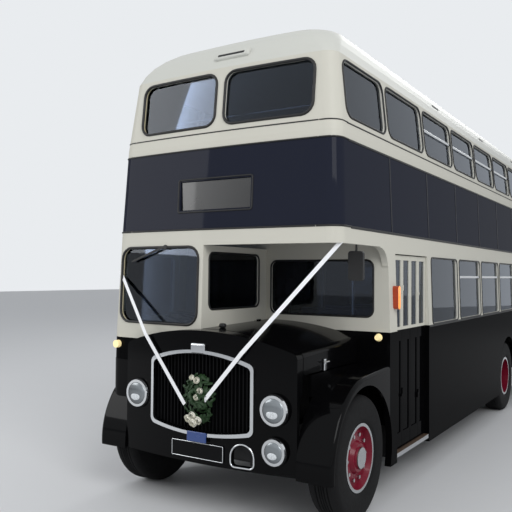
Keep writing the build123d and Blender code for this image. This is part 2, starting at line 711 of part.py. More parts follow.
# closing panels: beside the bonnet on the nearside, under the cab door on the offside
with BuildPart() as wing_panels:
    with BuildSketch(Plane.YZ.offset(COWL_HALF - 22)):
        with Locations((along((320 + BULKHEAD) / 2), (1070 + WING_TOP - FIT) / 2)):
            Rectangle(BULKHEAD - 320 - 2 * FIT, WING_TOP - FIT - 1070)
    extrude(amount=27)
    with BuildSketch(Plane.YZ.offset(-HALF_WIDTH)):
        with Locations((along((335 + CAB_REAR_POST) / 2), (1000 + WING_TOP - FIT) / 2)):
            Rectangle(CAB_REAR_POST - 335, WING_TOP - FIT - 1000)
        with Locations((along(FRONT_AXLE), AXLE_Z)):
            Circle(ARCH_RADIUS + 20, mode=Mode.SUBTRACT)
    extrude(amount=WING_SHEET)

with BuildPart() as front_wings:
    add(wing.part)
    add(wing.part.mirror(Plane.YZ))
    add(wing_panels.part)
save(front_wings, "front_wings")

# Bonnet lid, hinged along the cab
BONNET_SHEET = 22
BONNET_LOW = WING_TOP + 12


def bonnet_end(station, crown, edge):
    # section of the lid across the bus
    fall = crown - edge
    hinge_z = crown - fall * (BONNET[0] / BONNET[1]) ** 2
    middle_x = (BONNET[0] + BONNET[1]) / 2
    middle_z = crown - fall * (middle_x / BONNET[1]) ** 2
    inner_x = BONNET[1] - BONNET_SHEET
    with BuildSketch(Plane.XZ.offset(-along(station))) as section:
        with BuildLine():
            ThreePointArc((BONNET[0], hinge_z), (middle_x, middle_z), (BONNET[1], edge))
            Polyline(
                (BONNET[1], edge),
                (BONNET[1] + 2, BONNET_LOW),
                (inner_x, BONNET_LOW),
                (inner_x, edge - BONNET_SHEET),
            )
            ThreePointArc(
                (inner_x, edge - BONNET_SHEET),
                (middle_x, middle_z - BONNET_SHEET),
                (BONNET[0], hinge_z - BONNET_SHEET),
            )
            Line((BONNET[0], hinge_z - BONNET_SHEET), (BONNET[0], hinge_z))
        make_face()
        fillet([v for v in section.vertices() if abs(v.Y - edge) < 1], SHOULDER)
        fillet([v for v in section.vertices() if abs(v.Y - edge + BONNET_SHEET) < 1], SHOULDER - 20)
    return section.sketch


with BuildPart() as bonnet:
    loft([bonnet_end(*row) for row in BONNET_ENDS], ruled=True)
    add(body_solid(LOWER, 8), mode=Mode.INTERSECT)
    for station in BONNET_HINGES:
        add(lid_hinge(station)[1])
save(bonnet, "bonnet")

# Chassis: rails, cross members and a tow jaw
RAIL_X = (392, 468)
RAIL = (500, FLOOR[0])
CROSS = [215, 1640, 3300, 4900, 7400, 8640]
TOW_PIN = 20
with BuildPart() as chassis_frame:
    for side in (-1, 1):
        with BuildSketch(Plane.YZ.offset(side * RAIL_X[0])):
            with BuildLine():
                Polyline(
                    (along(190), RAIL[0]),
                    (along(REAR_AXLE - 520), RAIL[0]),
                    (along(REAR_AXLE - 360), 625),
                    (along(REAR_AXLE + 360), 625),
                    (along(REAR_AXLE + 520), RAIL[0]),
                    (along(8760), RAIL[0]),
                    (along(8760), RAIL[1]),
                    (along(190), RAIL[1]),
                    close=True,
                )
            make_face()
        extrude(amount=side * (RAIL_X[1] - RAIL_X[0]))
    with BuildSketch(Plane.XY.offset(600)):
        for station in CROSS:
            with Locations((0, along(station + 40))):
                Rectangle(2 * RAIL_X[0] + 20, 80)
    extrude(amount=RAIL[1] - 600)
    with BuildSketch(Plane.XY.offset(600)):
        with Locations((0, along(8760))):
            Rectangle(120, 200)
        with Locations((0, along(8815))):
            Circle(TOW_PIN, mode=Mode.SUBTRACT)
    extrude(amount=40)

# Engine block, gearbox and shaft
ENGINE = (-105, 392 - FIT, 400, BULKHEAD - 10)
with BuildPart() as engine:
    with BuildSketch(Plane.XY.offset(440)):
        with Locations(((ENGINE[0] + ENGINE[1]) / 2, along((ENGINE[2] + ENGINE[3]) / 2))):
            Rectangle(ENGINE[1] - ENGINE[0], ENGINE[3] - ENGINE[2])
    extrude(amount=950)
    with BuildSketch(Plane.XZ.offset(-along(1960))):
        with Locations((60, 505)):
            Rectangle(300, 180)
    extrude(amount=1960 - ENGINE[3])
    with BuildSketch(Plane.XZ.offset(-along(REAR_AXLE - 250))):
        with Locations((0, AXLE_Z)):
            Circle(45)
    extrude(amount=REAR_AXLE - 250 - 1960)
save(engine, "engine")

# Axles
KINGPIN_X = 960
EYE = (470, 580)
with BuildPart() as front_axle:
    with BuildSketch(Plane.XZ.offset(-along(FRONT_AXLE + 45))):
        with BuildLine():
            Polyline(
                (-KINGPIN_X, EYE[0]),
                (-800, EYE[0]),
                (-620, 330),
                (620, 330),
                (800, EYE[0]),
                (KINGPIN_X, EYE[0]),
                (KINGPIN_X, EYE[1]),
                (760, EYE[1]),
                (580, 430),
                (-580, 430),
                (-760, EYE[1]),
                (-KINGPIN_X, EYE[1]),
                close=True,
            )
        make_face()
    extrude(amount=90)
    with BuildSketch(Plane.XY.offset(EYE[0])):
        with Locations((-KINGPIN_X, along(FRONT_AXLE)), (KINGPIN_X, along(FRONT_AXLE))):
            Circle(55)
    extrude(amount=EYE[1] - EYE[0])
    with BuildSketch(Plane.XY.offset(EYE[0])):
        with Locations((-KINGPIN_X, along(FRONT_AXLE)), (KINGPIN_X, along(FRONT_AXLE))):
            Circle(25.05)
    extrude(amount=EYE[1] - EYE[0], mode=Mode.SUBTRACT)
save(front_axle, "front_axle")

STUB_END = 1010
with BuildPart() as rear_axle:
    with BuildSketch(Plane.YZ.offset(-560)):
        with Locations((along(REAR_AXLE), AXLE_Z)):
            Circle(85)
    extrude(amount=1120)
    with BuildSketch(Plane.YZ.offset(-STUB_END)):
        with Locations((along(REAR_AXLE), AXLE_Z)):
            Circle(60)
    extrude(amount=2 * STUB_END)
    with BuildSketch(Plane.YZ.offset(-120)):
        with Locations((along(REAR_AXLE), AXLE_Z)):
            Circle(150)
    extrude(amount=240)
    with BuildSketch(Plane.XZ.offset(-along(REAR_AXLE))):
        with Locations((0, AXLE_Z)):
            Circle(80)
    extrude(amount=250 - FIT)
save(rear_axle, "rear_axle")

# Leaf springs: inner X, outer X, first station, last station, low, high, hanger top
SPRINGS = [
    (RAIL_X[0] + 3, RAIL_X[1] - 3, 200, 1250, 430, 468, RAIL[0]),
    (RAIL_X[1] + FIT, 538, REAR_AXLE - 690, REAR_AXLE + 690, 385, AXLE_Z - 85, 610),
]
with BuildPart() as leaf_springs:
    for side in (-1, 1):
        for inner, outer, first, last, low, high, hanger in SPRINGS:
            with BuildSketch(Plane.YZ.offset(side * inner)):
                with BuildLine():
                    Polyline(
                        (along(first), hanger),
                        (along(first), low + 30),
                        (along(first + 250), low),
                        (along(last - 250), low),
                        (along(last), low + 30),
                        (along(last), hanger),
                        (along(last - 60), hanger),
                        (along(last - 60), high),
                        (along(first + 60), high),
                        (along(first + 60), hanger),
                        close=True,
                    )
                make_face()
            extrude(amount=side * (outer - inner))

with BuildPart() as fuel_tank:
    with BuildSketch(Plane.XZ.offset(-along(4500))):
        with Locations(((-1090 - RAIL_X[1] - FIT) / 2, 520)):
            RectangleRounded(1090 - RAIL_X[1] - FIT, 280, 60)
    extrude(amount=1300)

with BuildPart() as chassis:
    add(chassis_frame.part)
    add(leaf_springs.part)
    add(fuel_tank.part)
save(chassis, "chassis_frame")

# Lower floor with the entrance step and the rear wheel boxes
STEP_Z = (360, 400)
STEP_X = 800
BOX_TOP = 1130
BOX_INNER = 548
BOX_SHEET = 20
# folding door leaves and the pivots they stand on
LEAF = (1145, 1175)
LEAF_WIDTH = 232
LEAF_POST_GAP = 9
LEAF_GAP = 4
LEAF_MID_GAP = 6
PIVOT = 6
PIVOT_X = LEAF[0] + 10
PIVOT_IN = 10
LEAF_STARTS = [
    DOORWAY[0] + LEAF_POST_GAP,
    DOORWAY[0] + LEAF_POST_GAP + LEAF_WIDTH + LEAF_GAP,
    DOORWAY[1] - LEAF_POST_GAP - 2 * LEAF_WIDTH - LEAF_GAP,
    DOORWAY[1] - LEAF_POST_GAP - LEAF_WIDTH,
]
LEAF_PIVOTS = [LEAF_STARTS[0] + PIVOT_IN, LEAF_STARTS[3] + LEAF_WIDTH - PIVOT_IN]
with BuildPart() as lower_floor:
    with BuildSketch(Plane.XY.offset(FLOOR[0])):
        with Locations((0, along((BULK_LOW + SHEET + LENGTH) / 2))):
            Rectangle(2 * HALF_WIDTH, LENGTH - BULK_LOW - SHEET)
    extrude(amount=FLOOR[1] - FLOOR[0])
    with BuildSketch(Plane.XY.offset(STEP_Z[0])):
        with Locations(((STEP_X - 25 + HALF_WIDTH - WALL) / 2, along((DOORWAY[0] + DOORWAY[1]) / 2))):
            Rectangle(HALF_WIDTH - WALL - STEP_X + 25, DOORWAY[1] - DOORWAY[0] + 50)
    extrude(amount=FLOOR[0] - STEP_Z[0])
    with BuildSketch(Plane.XY.offset(STEP_Z[1])):
        with Locations((STEP_X + 300, along((DOORWAY[0] + DOORWAY[1]) / 2))):
            Rectangle(600, DOORWAY[1] - DOORWAY[0])
    extrude(amount=1000, mode=Mode.SUBTRACT)
    for side in (-1, 1):
        with BuildSketch(Plane.XY.offset(FLOOR[0])):
            with Locations((side * (BOX_INNER + HALF_WIDTH - WALL) / 2, along(REAR_AXLE))):
                Rectangle(HALF_WIDTH - WALL - BOX_INNER, 2 * ARCH_RADIUS + 2 * BOX_SHEET)
        extrude(amount=BOX_TOP - FLOOR[0])
        with BuildSketch(Plane.XY.offset(FLOOR[0] - 100)):
            with Locations((side * (BOX_INNER + BOX_SHEET + 1300) / 2, along(REAR_AXLE))):
                Rectangle(1300 - BOX_INNER - BOX_SHEET, 2 * ARCH_RADIUS)
        extrude(amount=BOX_TOP - BOX_SHEET - FLOOR[0] + 100, mode=Mode.SUBTRACT)
    add(body_solid(LOWER, WALL + FIT), mode=Mode.INTERSECT)
    with BuildSketch(Plane.XY.offset(STEP_Z[0])):
        with Locations(((STEP_X + HALF_WIDTH - 4) / 2, along((DOORWAY[0] + DOORWAY[1]) / 2))):
            Rectangle(HALF_WIDTH - 4 - STEP_X, DOORWAY[1] - DOORWAY[0] - 2 * FIT)
    extrude(amount=STEP_Z[1] - STEP_Z[0])
    with BuildSketch(Plane.XY.offset(STEP_Z[1])):
        for station in LEAF_PIVOTS:
            with Locations((PIVOT_X, along(station))):
                Circle(PIVOT)
    extrude(amount=40)
save(lower_floor, "lower_floor")

# Staircase behind the cab
STAIR_X = (-1125, -550)
STAIR_START = 1450
TREAD = 200
RISERS = 8
STAIR_RISE = (UPPER_FLOOR[1] - FLOOR[1]) / RISERS
with BuildPart() as staircase:
    with BuildSketch(Plane.YZ.offset(STAIR_X[0])):
        with BuildLine():
            corners = [(along(STAIR_START), FLOOR[1])]
            for k in range(RISERS):
                corners.append((along(STAIR_START + TREAD * k), FLOOR[1] + STAIR_RISE * (k + 1)))
                corners.append((along(STAIR_START + TREAD * (k + 1)), FLOOR[1] + STAIR_RISE * (k + 1)))
            corners.append((along(STAIR_START + TREAD * RISERS), UPPER_FLOOR[0] - 160))
            corners.append((along(STAIR_START + 330), FLOOR[1]))
            Polyline(*corners, close=True)
        make_face()
    extrude(amount=STAIR_X[1] - STAIR_X[0])
save(staircase, "staircase")

# Seats: side view of one double seat, then rows with X from, X to and station
SEAT_SIDE = [
    (0, 330),
    (190, 330),
    (190, 0),
    (250, 0),
    (250, 330),
    (470, 330),
    (540, 900),
    (465, 900),
    (405, 455),
    (0, 455),
]
SEAT_X = (250, 1110)
UPPER_SEAT_X = (235, 1060)
LOWER_ROWS = [2640, 3400, 4160, 4920, 7090, 7840]
UPPER_ROWS = [610 + 745 * k for k in range(10)]


def seat_side(x, station, base):
    # side view of a seat on its floor
    with BuildSketch(Plane.YZ.offset(x)) as face:
        with BuildLine():
            Polyline(*[(along(station + u), base + v) for u, v in SEAT_SIDE], close=True)
        make_face()
    return face.sketch


with BuildPart() as lower_seats:
    for station in LOWER_ROWS:
        extrude(seat_side(SEAT_X[0], station, FLOOR[1]), amount=SEAT_X[1] - SEAT_X[0])
        if station > 3300:
            extrude(seat_side(-SEAT_X[1], station, FLOOR[1]), amount=SEAT_X[1] - SEAT_X[0])
    extrude(seat_side(-SEAT_X[1] + 60, 8380, FLOOR[1]), amount=2 * SEAT_X[1] - 120)
    for side in (-1, 1):
        with BuildSketch(Plane.XZ.offset(-along(REAR_AXLE + 560))):
            with BuildLine():
                Polyline(
                    (side * 570, BOX_TOP),
                    (side * 570, BOX_TOP + 120),
                    (side * 1040, BOX_TOP + 120),
                    (side * 1060, BOX_TOP + 420),
                    (side * 1130, BOX_TOP + 420),
                    (side * 1130, BOX_TOP),
                    close=True,
                )
            make_face()
        extrude(amount=1120)
save(lower_seats, "lower_seats")

with BuildPart() as upper_seats:
    for station in UPPER_ROWS:
        extrude(
            seat_side(UPPER_SEAT_X[0], station, UPPER_FLOOR[1]),
            amount=UPPER_SEAT_X[1] - UPPER_SEAT_X[0],
        )
        if station < 700 or station > 3100:
            extrude(
                seat_side(-UPPER_SEAT_X[1], station, UPPER_FLOOR[1]),
                amount=UPPER_SEAT_X[1] - UPPER_SEAT_X[0],
            )
    extrude(seat_side(-UPPER_SEAT_X[1] + 60, 8270, UPPER_FLOOR[1]), amount=2 * UPPER_SEAT_X[1] - 120)
save(upper_seats, "upper_seats")

with BuildPart() as driver_seat:
    with BuildSketch(Plane.YZ.offset(-860)):
        with BuildLine():
            Polyline(
                (along(800), 1290),
                (along(900), 1290),
                (along(900), 1130),
                (along(1000), 1130),
                (along(1000), 1290),
                (along(1180), 1290),
                (along(1240), 1860),
                (along(1165), 1860),
                (along(1110), 1410),
                (along(800), 1410),
                close=True,
            )
        make_face()
    extrude(amount=440)
save(driver_seat, "driver_seat")

# Steering column on the cab floor, and the wheel on its top
COLUMN_X = -600
COLUMN_FOOT = (430, CAB_FLOOR_Z)
COLUMN_TILT = 20
COLUMN_LENGTH = 650
column_dir = (0, math.sin(math.radians(COLUMN_TILT)), math.cos(math.radians(COLUMN_TILT)))
with BuildPart() as steering_column:
    foot = (COLUMN_X, along(COLUMN_FOOT[0]) - 60 * column_dir[1], COLUMN_FOOT[1] - 60 * column_dir[2])
    with BuildSketch(Plane(origin=foot, x_dir=(1, 0, 0), z_dir=column_dir)):
        Circle(28)
    extrude(amount=COLUMN_LENGTH + 60)
    with BuildSketch(Plane.XY.offset(CAB_FLOOR_Z - 200)):
        with Locations((COLUMN_X, along(COLUMN_FOOT[0]))):
            Rectangle(400, 400)
    extrude(amount=200, mode=Mode.SUBTRACT)
with BuildPart() as cab_deck:
    add(cab_floor.part)
    add(steering_column.part)
save(cab_deck, "cab_floor")

column_top = (
    COLUMN_X,
    along(COLUMN_FOOT[0]) + (COLUMN_LENGTH + 0.5) * column_dir[1],
    COLUMN_FOOT[1] + (COLUMN_LENGTH + 0.5) * column_dir[2],
)
with BuildPart() as steering_wheel:
    with BuildSketch(Plane(origin=column_top, x_dir=(1, 0, 0), z_dir=column_dir)):
        RegularPolygon(245, 24)
        RegularPolygon(215, 24, mode=Mode.SUBTRACT)
        Circle(40)
        Rectangle(450, 22)
        with Locations((0, -110)):
            Rectangle(26, 220)
    extrude(amount=28)
save(steering_wheel, "steering_wheel")

# Glass of the two decks
with BuildPart() as upper_glass:
    add(upper_rebates.part)
    add(upper_rebates.part.mirror(Plane.YZ))
    add(front_rebates.part)
    add(body_solid(UPPER, GLASS_IN + GLASS), mode=Mode.SUBTRACT)
save(upper_glass, "upper_glass")

with BuildPart() as lower_glass:
    add(nearside_rebates.part)
    add(offside_rebates.part)
    add(screen_rebate.part)
    add(body_solid(LOWER, GLASS_IN + GLASS), mode=Mode.SUBTRACT)
    with BuildSketch(Plane.XZ.offset(-along(BULKHEAD + 15 + GLASS))):
        for start, end in BULK_WINDOWS:
            with Locations(((start + end) / 2, (BULK_SILL + BULK_HEAD) / 2)):
                Rectangle(end - start + 2 * LAP, BULK_HEAD - BULK_SILL + 2 * LAP)
    extrude(amount=GLASS)
    with BuildSketch(Plane.YZ.offset(CAB_WALL[1] - 15)):
        with Locations((along((CAB_LIGHT[0] + CAB_LIGHT[1]) / 2), (CAB_LIGHT[2] + CAB_LIGHT[3]) / 2)):
            Rectangle(CAB_LIGHT[1] - CAB_LIGHT[0] + 2 * LAP, CAB_LIGHT[3] - CAB_LIGHT[2] + 2 * LAP)
    extrude(amount=-GLASS)
save(lower_glass, "lower_glass")

# Lamps on the cowl: X, height, rim radius
FRONT_LAMPS = [(-LAMP[0], LAMP[1], LAMP[2]), LAMP, FOG]
with BuildPart() as front_lamps:
    for x, z, radius in FRONT_LAMPS:
        with BuildSketch(Plane.XZ.offset(-along(LAMP_FACE - FIT))):
            with Locations((x, z)):
                Circle(radius)
        extrude(amount=18, taper=20)
        with BuildSketch(Plane.XZ.offset(-along(LAMP_FACE + 90))):
            with Locations((x, z)):
                Circle(radius - 24)
        extrude(amount=90 + FIT)

# Side lamps on the cab corner and the bulkhead, flashers on the posts, and rear lamps
with BuildPart() as cab_lamp:
    with BuildSketch(Plane.XZ.offset(-along(290))):
        with Locations((-1118, 1395)):
            Circle(36)
    extrude(amount=135)
    add(lower_skin, mode=Mode.SUBTRACT)

with BuildPart() as lamps:
    add(front_lamps.part)
    add(cab_lamp.part)
    with BuildSketch(Plane.XZ.offset(-along(BULKHEAD - FIT))):
        with Locations((1108, 1497)):
            Circle(36)
    extrude(amount=45, taper=15)
save(lamps, "lamps")

FLASHER = (1405, 1757, 1975)
with BuildPart() as flashers:
    for side in (-1, 1):
        with BuildSketch(Plane.YZ.offset(side * 1150)):
            with Locations((along(FLASHER[0]), (FLASHER[1] + FLASHER[2]) / 2)):
                RectangleRounded(64, FLASHER[2] - FLASHER[1], 30)
        extrude(amount=side * 112)
    add(lower_skin, mode=Mode.SUBTRACT)
save(flashers, "flashers")

with BuildPart() as rear_lamps:
    with BuildSketch(Plane.XZ.offset(-along(REAR - 60))):
        for side in (-1, 1):
            for z in (780, 920, 1060):
                with Locations((side * 860, z)):
                    Circle(48)
    extrude(amount=-90)
    add(lower_skin, mode=Mode.SUBTRACT)
save(rear_lamps, "rear_lamps")

# Mirror under the canopy corner, wiper and handrails
with BuildPart() as mirror_arm:
    with BuildSketch(Plane.XY.offset(2240)):
        with Locations((1160, along(640))):
            Circle(9)
    extrude(amount=DECK_Z - 2240 - FIT)
    with BuildSketch(Plane.XZ.offset(-along(660))):
        with Locations((1160, 2150)):
            RectangleRounded(135, 250, 25)
    extrude(amount=40)

with BuildPart() as wiper:
    with BuildSketch(Plane.XZ.offset(-along(400))):
        with BuildLine():
            Polyline((-560, 2332), (-535, 2318), (-960, 2178), (-975, 2190), close=True)
        make_face()
        with Locations((-548, 2316)):
            Circle(22)
    extrude(amount=400)
    add(lower_skin, mode=Mode.SUBTRACT)
    add(upper_skin, mode=Mode.SUBTRACT)
    add(body_solid(BODY[1:4], -14), mode=Mode.INTERSECT)
with BuildPart() as cab_fittings:
    add(mirror_arm.part)
    add(wiper.part)
save(cab_fittings, "cab_fittings")

# Handrails: two poles by the entrance, three along the aisle, a bar behind the front windows
POLES = [(770, 1450), (770, 2460), (240, 3330), (-240, 5480), (240, 7020)]
with BuildPart() as handrails:
    with BuildSketch(Plane.XY.offset(FLOOR[1] + FIT)):
        for x, station in POLES:
            with Locations((x, along(station))):
                Circle(16)
    extrude(amount=UPPER_FLOOR[0] - FLOOR[1] - 2 * FIT)
    with BuildSketch(Plane.YZ):
        with Locations((along(460), 3520)):
            Circle(14)
    extrude(amount=1068.2, both=True)
save(handrails, "handrails")

# Wheels: section of a rim and of a tyre, turned about the axle
TYRE_HALF = 135
TYRE_RADIUS = AXLE_Z
BEAD_RADIUS = 275
FRONT_WHEEL_X = 1045
TWIN_X = (715, 1045)


# half section of a tyre: offset from its middle, radius; the outline has many flat sides
TYRE_ROWS = [
    (-100, 272),
    (-TYRE_HALF, 420),
    (-108, TYRE_RADIUS),
    (108, TYRE_RADIUS),
    (TYRE_HALF, 420),
    (100, 272),
]
TYRE_SIDES = 48


def many_sided(x, radius, station):
    with BuildSketch(Plane.YZ.offset(x)) as face:
        with Locations((along(station), AXLE_Z)):
            RegularPolygon(radius, TYRE_SIDES, major_radius=False, rotation=180 / TYRE_SIDES)
    return face.sketch


def tyre(x, station):
    # a tyre with its middle at x
    with BuildPart() as ring:
        loft([many_sided(x + u, radius, station) for u, radius in TYRE_ROWS], ruled=True)
        extrude(many_sided(x - 200, BEAD_RADIUS + FIT, station), amount=400, mode=Mode.SUBTRACT)
    return ring.part


# Section of the front rim, disc and hub: X, radius
FRONT_RIM = [
    (1060, 45.05),
    (1060, 125),
    (1090, 140),
    (1088, 250),
    (925, 258),
    (925, 288),
    (940, 288),
    (940, 275),
    (1150, 275),
    (1150, 288),
    (1168, 288),
    (1168, 262),
    (1112, 240),
    (1125, 140),
    (1160, 118),
    (1160, 96),
    (1182, 88),
    (1182, 0),
    (1140, 0),
    (1140, 45.05),
]
# Section of the twin rims with their shared disc and hub: X, radius
TWIN_RIM = [
    (640, 60.05),
    (640, 150),
    (866, 160),
    (866, 255),
    (590, 255),
    (590, 288),
    (604, 288),
    (604, 275),
    (1150, 275),
    (1150, 288),
    (1168, 288),
    (1168, 258),
    (896, 250),
    (896, 160),
    (1040, 130),
    (1040, 96),
    (1090, 86),
    (1090, 0),
    (1016, 0),
    (1016, 60.05),
]


def rim_section(rows, station):
    # section of a rim from its table
    with BuildSketch(Plane.XY.offset(AXLE_Z)) as face:
        with BuildLine():
            Polyline(*[(x, along(station) + radius) for x, radius in rows], close=True)
        make_face()
    return face.sketch


front_line = Axis((0, along(FRONT_AXLE), AXLE_Z), (1, 0, 0))
rear_line = Axis((0, along(REAR_AXLE), AXLE_Z), (1, 0, 0))

with BuildPart() as rim_front_nearside:
    revolve(rim_section(FRONT_RIM, FRONT_AXLE), axis=front_line)
save(rim_front_nearside, "rim_front_nearside")

with BuildPart() as tyre_front_nearside:
    add(tyre(FRONT_WHEEL_X, FRONT_AXLE))
save(tyre_front_nearside, "tyre_front_nearside")

with BuildPart() as rims_rear_nearside:
    revolve(rim_section(TWIN_RIM, REAR_AXLE), axis=rear_line)
save(rims_rear_nearside, "rims_rear_nearside")

with BuildPart() as tyres_rear_nearside:
    for x in TWIN_X:
        add(tyre(x, REAR_AXLE))
save(tyres_rear_nearside, "tyres_rear_nearside")

# Steering knuckle: pin through the axle eye, two arms, a web and the stub
with BuildPart() as knuckle_nearside:
    with BuildSketch(Plane.XY.offset(420)):
        with Locations((KINGPIN_X, along(FRONT_AXLE))):
            Circle(25)
    extrude(amount=210)
    with BuildSketch(Plane.XZ.offset(-along(FRONT_AXLE + 50))):
        with BuildLine():
            Polyline(
                (KINGPIN_X - 45, 590),
                (KINGPIN_X + 66, 590),
                (KINGPIN_X + 66, 460),
                (KINGPIN_X - 45, 460),
                (KINGPIN_X - 45, 420),
                (KINGPIN_X + 92, 420),
                (KINGPIN_X + 92, 630),
                (KINGPIN_X - 45, 630),
                close=True,
            )
        make_face()
    extrude(amount=100)
    with BuildSketch(Plane.YZ.offset(KINGPIN_X + 92)):
        with Locations((along(FRONT_AXLE), AXLE_Z)):
            Circle(45)
    extrude(amount=1136 - KINGPIN_X - 92)
save(knuckle_nearside, "knuckle_nearside")

MIRRORED = [
    (rim_front_nearside, "rim_front_offside"),
    (tyre_front_nearside, "tyre_front_offside"),
    (rims_rear_nearside, "rims_rear_offside"),
    (tyres_rear_nearside, "tyres_rear_offside"),
    (knuckle_nearside, "knuckle_offside"),
]
for source, name in MIRRORED:
    with BuildPart() as offside_piece:
        add(source.part.mirror(Plane.YZ))
    save(offside_piece, name)

# Folding entrance doors: four leaves with a window above and a panel below
LEAF_Z = (412, 2268)
LEAF_LIGHT = (1575, 2222)
LEAF_PANEL = (560, 1440)
LEAF_EDGE = 33
LEAF_HINGES = (900, 1900)
# each leaf: its number, the pair's fold line and which half of its hinge it carries
fold_front = LEAF_STARTS[1] - LEAF_GAP / 2
fold_rear = LEAF_STARTS[3] - LEAF_GAP / 2
LEAVES = [(1, fold_front, 1, 0), (2, fold_front, 1, 1), (3, fold_rear, -1, 1), (4, fold_rear, -1, 0)]


def leaf_hinge(station, way, z):
    frame = Plane(origin=(LEAF[1] + 5, along(station), z), x_dir=(0, way, 0), z_dir=(0, 0, way))
    return hinge(frame, 5, 2.5, 4.5, 22)


for (number, fold, way, half), start in zip(LEAVES, LEAF_STARTS):
    middle = along(start + LEAF_WIDTH / 2)
    with BuildPart() as door_leaf:
        with BuildSketch(Plane.YZ.offset(LEAF[0])):
            with Locations((middle, (LEAF_Z[0] + LEAF_Z[1]) / 2)):
                Rectangle(LEAF_WIDTH, LEAF_Z[1] - LEAF_Z[0])
            with Locations((middle, (LEAF_LIGHT[0] + LEAF_LIGHT[1]) / 2)):
                Rectangle(LEAF_WIDTH - 2 * LEAF_EDGE, LEAF_LIGHT[1] - LEAF_LIGHT[0], mode=Mode.SUBTRACT)
        extrude(amount=LEAF[1] - LEAF[0])
        with BuildSketch(Plane.YZ.offset(LEAF[1] - 8)):
            with Locations((middle, (LEAF_PANEL[0] + LEAF_PANEL[1]) / 2)):
                Rectangle(LEAF_WIDTH - 2 * LEAF_EDGE, LEAF_PANEL[1] - LEAF_PANEL[0])
        extrude(amount=20, mode=Mode.SUBTRACT)
        with BuildSketch(Plane.XY.offset(LEAF_Z[0])):
            for station in LEAF_PIVOTS:
                with Locations((PIVOT_X, along(station))):
                    Circle(PIVOT + 0.05)
        extrude(amount=32, mode=Mode.SUBTRACT)
        for z in LEAF_HINGES:
            add(leaf_hinge(fold, way, z)[half])
        with BuildSketch(Plane.YZ.offset(LEAF[0] + 14)):
            with Locations((middle, (LEAF_LIGHT[0] + LEAF_LIGHT[1]) / 2)):
                Rectangle(LEAF_WIDTH - 2 * LEAF_EDGE - 2 * FIT, LEAF_LIGHT[1] - LEAF_LIGHT[0] - 2 * FIT)
        extrude(amount=5)
    save(door_leaf, f"door_leaf_{number}")

# Driver's door
CAB_DOOR_Z = (WING_TOP + 10, DECK_Z - 6)
CAB_DOOR_LIGHT = (505, 1070, 1640, 2250)
with BuildPart() as cab_door:
    add(lower_skin)
    add(lower_room, mode=Mode.SUBTRACT)
    with BuildSketch(Plane.YZ.offset(-1000)):
        with Locations((along((CAB_DOOR[0] + CAB_DOOR[1]) / 2), (CAB_DOOR_Z[0] + CAB_DOOR_Z[1]) / 2)):
            Rectangle(CAB_DOOR[1] - CAB_DOOR[0], CAB_DOOR_Z[1] - CAB_DOOR_Z[0])
        with Locations(
            (along((CAB_DOOR_LIGHT[0] + CAB_DOOR_LIGHT[1]) / 2), (CAB_DOOR_LIGHT[2] + CAB_DOOR_LIGHT[3]) / 2)
        ):
            RectangleRounded(
                CAB_DOOR_LIGHT[1] - CAB_DOOR_LIGHT[0],
                CAB_DOOR_LIGHT[3] - CAB_DOOR_LIGHT[2],
                50,
                mode=Mode.SUBTRACT,
            )
    extrude(amount=-400, mode=Mode.INTERSECT)
    for z in CAB_HINGES:
        add(cab_hinge(z)[1])
save(cab_door, "cab_door")

with BuildPart() as cab_door_glass:
    with BuildSketch(Plane.YZ.offset(-1000)):
        with Locations(
            (along((CAB_DOOR_LIGHT[0] + CAB_DOOR_LIGHT[1]) / 2), (CAB_DOOR_LIGHT[2] + CAB_DOOR_LIGHT[3]) / 2)
        ):
            RectangleRounded(
                CAB_DOOR_LIGHT[1] - CAB_DOOR_LIGHT[0],
                CAB_DOOR_LIGHT[3] - CAB_DOOR_LIGHT[2],
                50,
            )
    extrude(amount=-400)
    add(body_solid(LOWER, GLASS_IN), mode=Mode.INTERSECT)
    add(body_solid(LOWER, GLASS_IN + GLASS), mode=Mode.SUBTRACT)
save(cab_door_glass, "cab_door_glass")

# Emergency doors at the rear: name, skin rows, opening, window low edge
EXITS = [
    ("lower_exit", LOWER, LOWER_EXIT, 1560, LOWER_HINGES),
    ("upper_exit", UPPER, UPPER_EXIT, 3400, UPPER_HINGES),
]
EXIT_GAP = 6
EXIT_SWING_GAP = 14
for name, rows, (left, right, low, high), sill, hinges in EXITS:
    middle = (left + EXIT_GAP + right - EXIT_SWING_GAP) / 2
    width = right - EXIT_SWING_GAP - left - EXIT_GAP
    with BuildPart() as exit_door:
        add(body_solid(rows, 0))
        add(body_solid(rows, WALL), mode=Mode.SUBTRACT)
        with BuildSketch(Plane.XZ):
            with Locations((middle, (low + high) / 2)):
                Rectangle(width, high - low - 2 * EXIT_GAP)
            with Locations((middle, (sill + high - 75) / 2)):
                RectangleRounded(width - 150, high - 75 - sill, 50, mode=Mode.SUBTRACT)
        extrude(amount=-LENGTH, mode=Mode.INTERSECT)
        for z in hinges:
            add(exit_hinge(left, z)[1])
    save(exit_door, name)
    with BuildPart() as exit_glass:
        with BuildSketch(Plane.XZ):
            with Locations((middle, (sill + high - 75) / 2)):
                RectangleRounded(width - 150, high - 75 - sill, 50)
        extrude(amount=-LENGTH)
        add(body_solid(rows, GLASS_IN), mode=Mode.INTERSECT)
        add(body_solid(rows, GLASS_IN + GLASS), mode=Mode.SUBTRACT)
    save(exit_glass, f"{name}_glass")

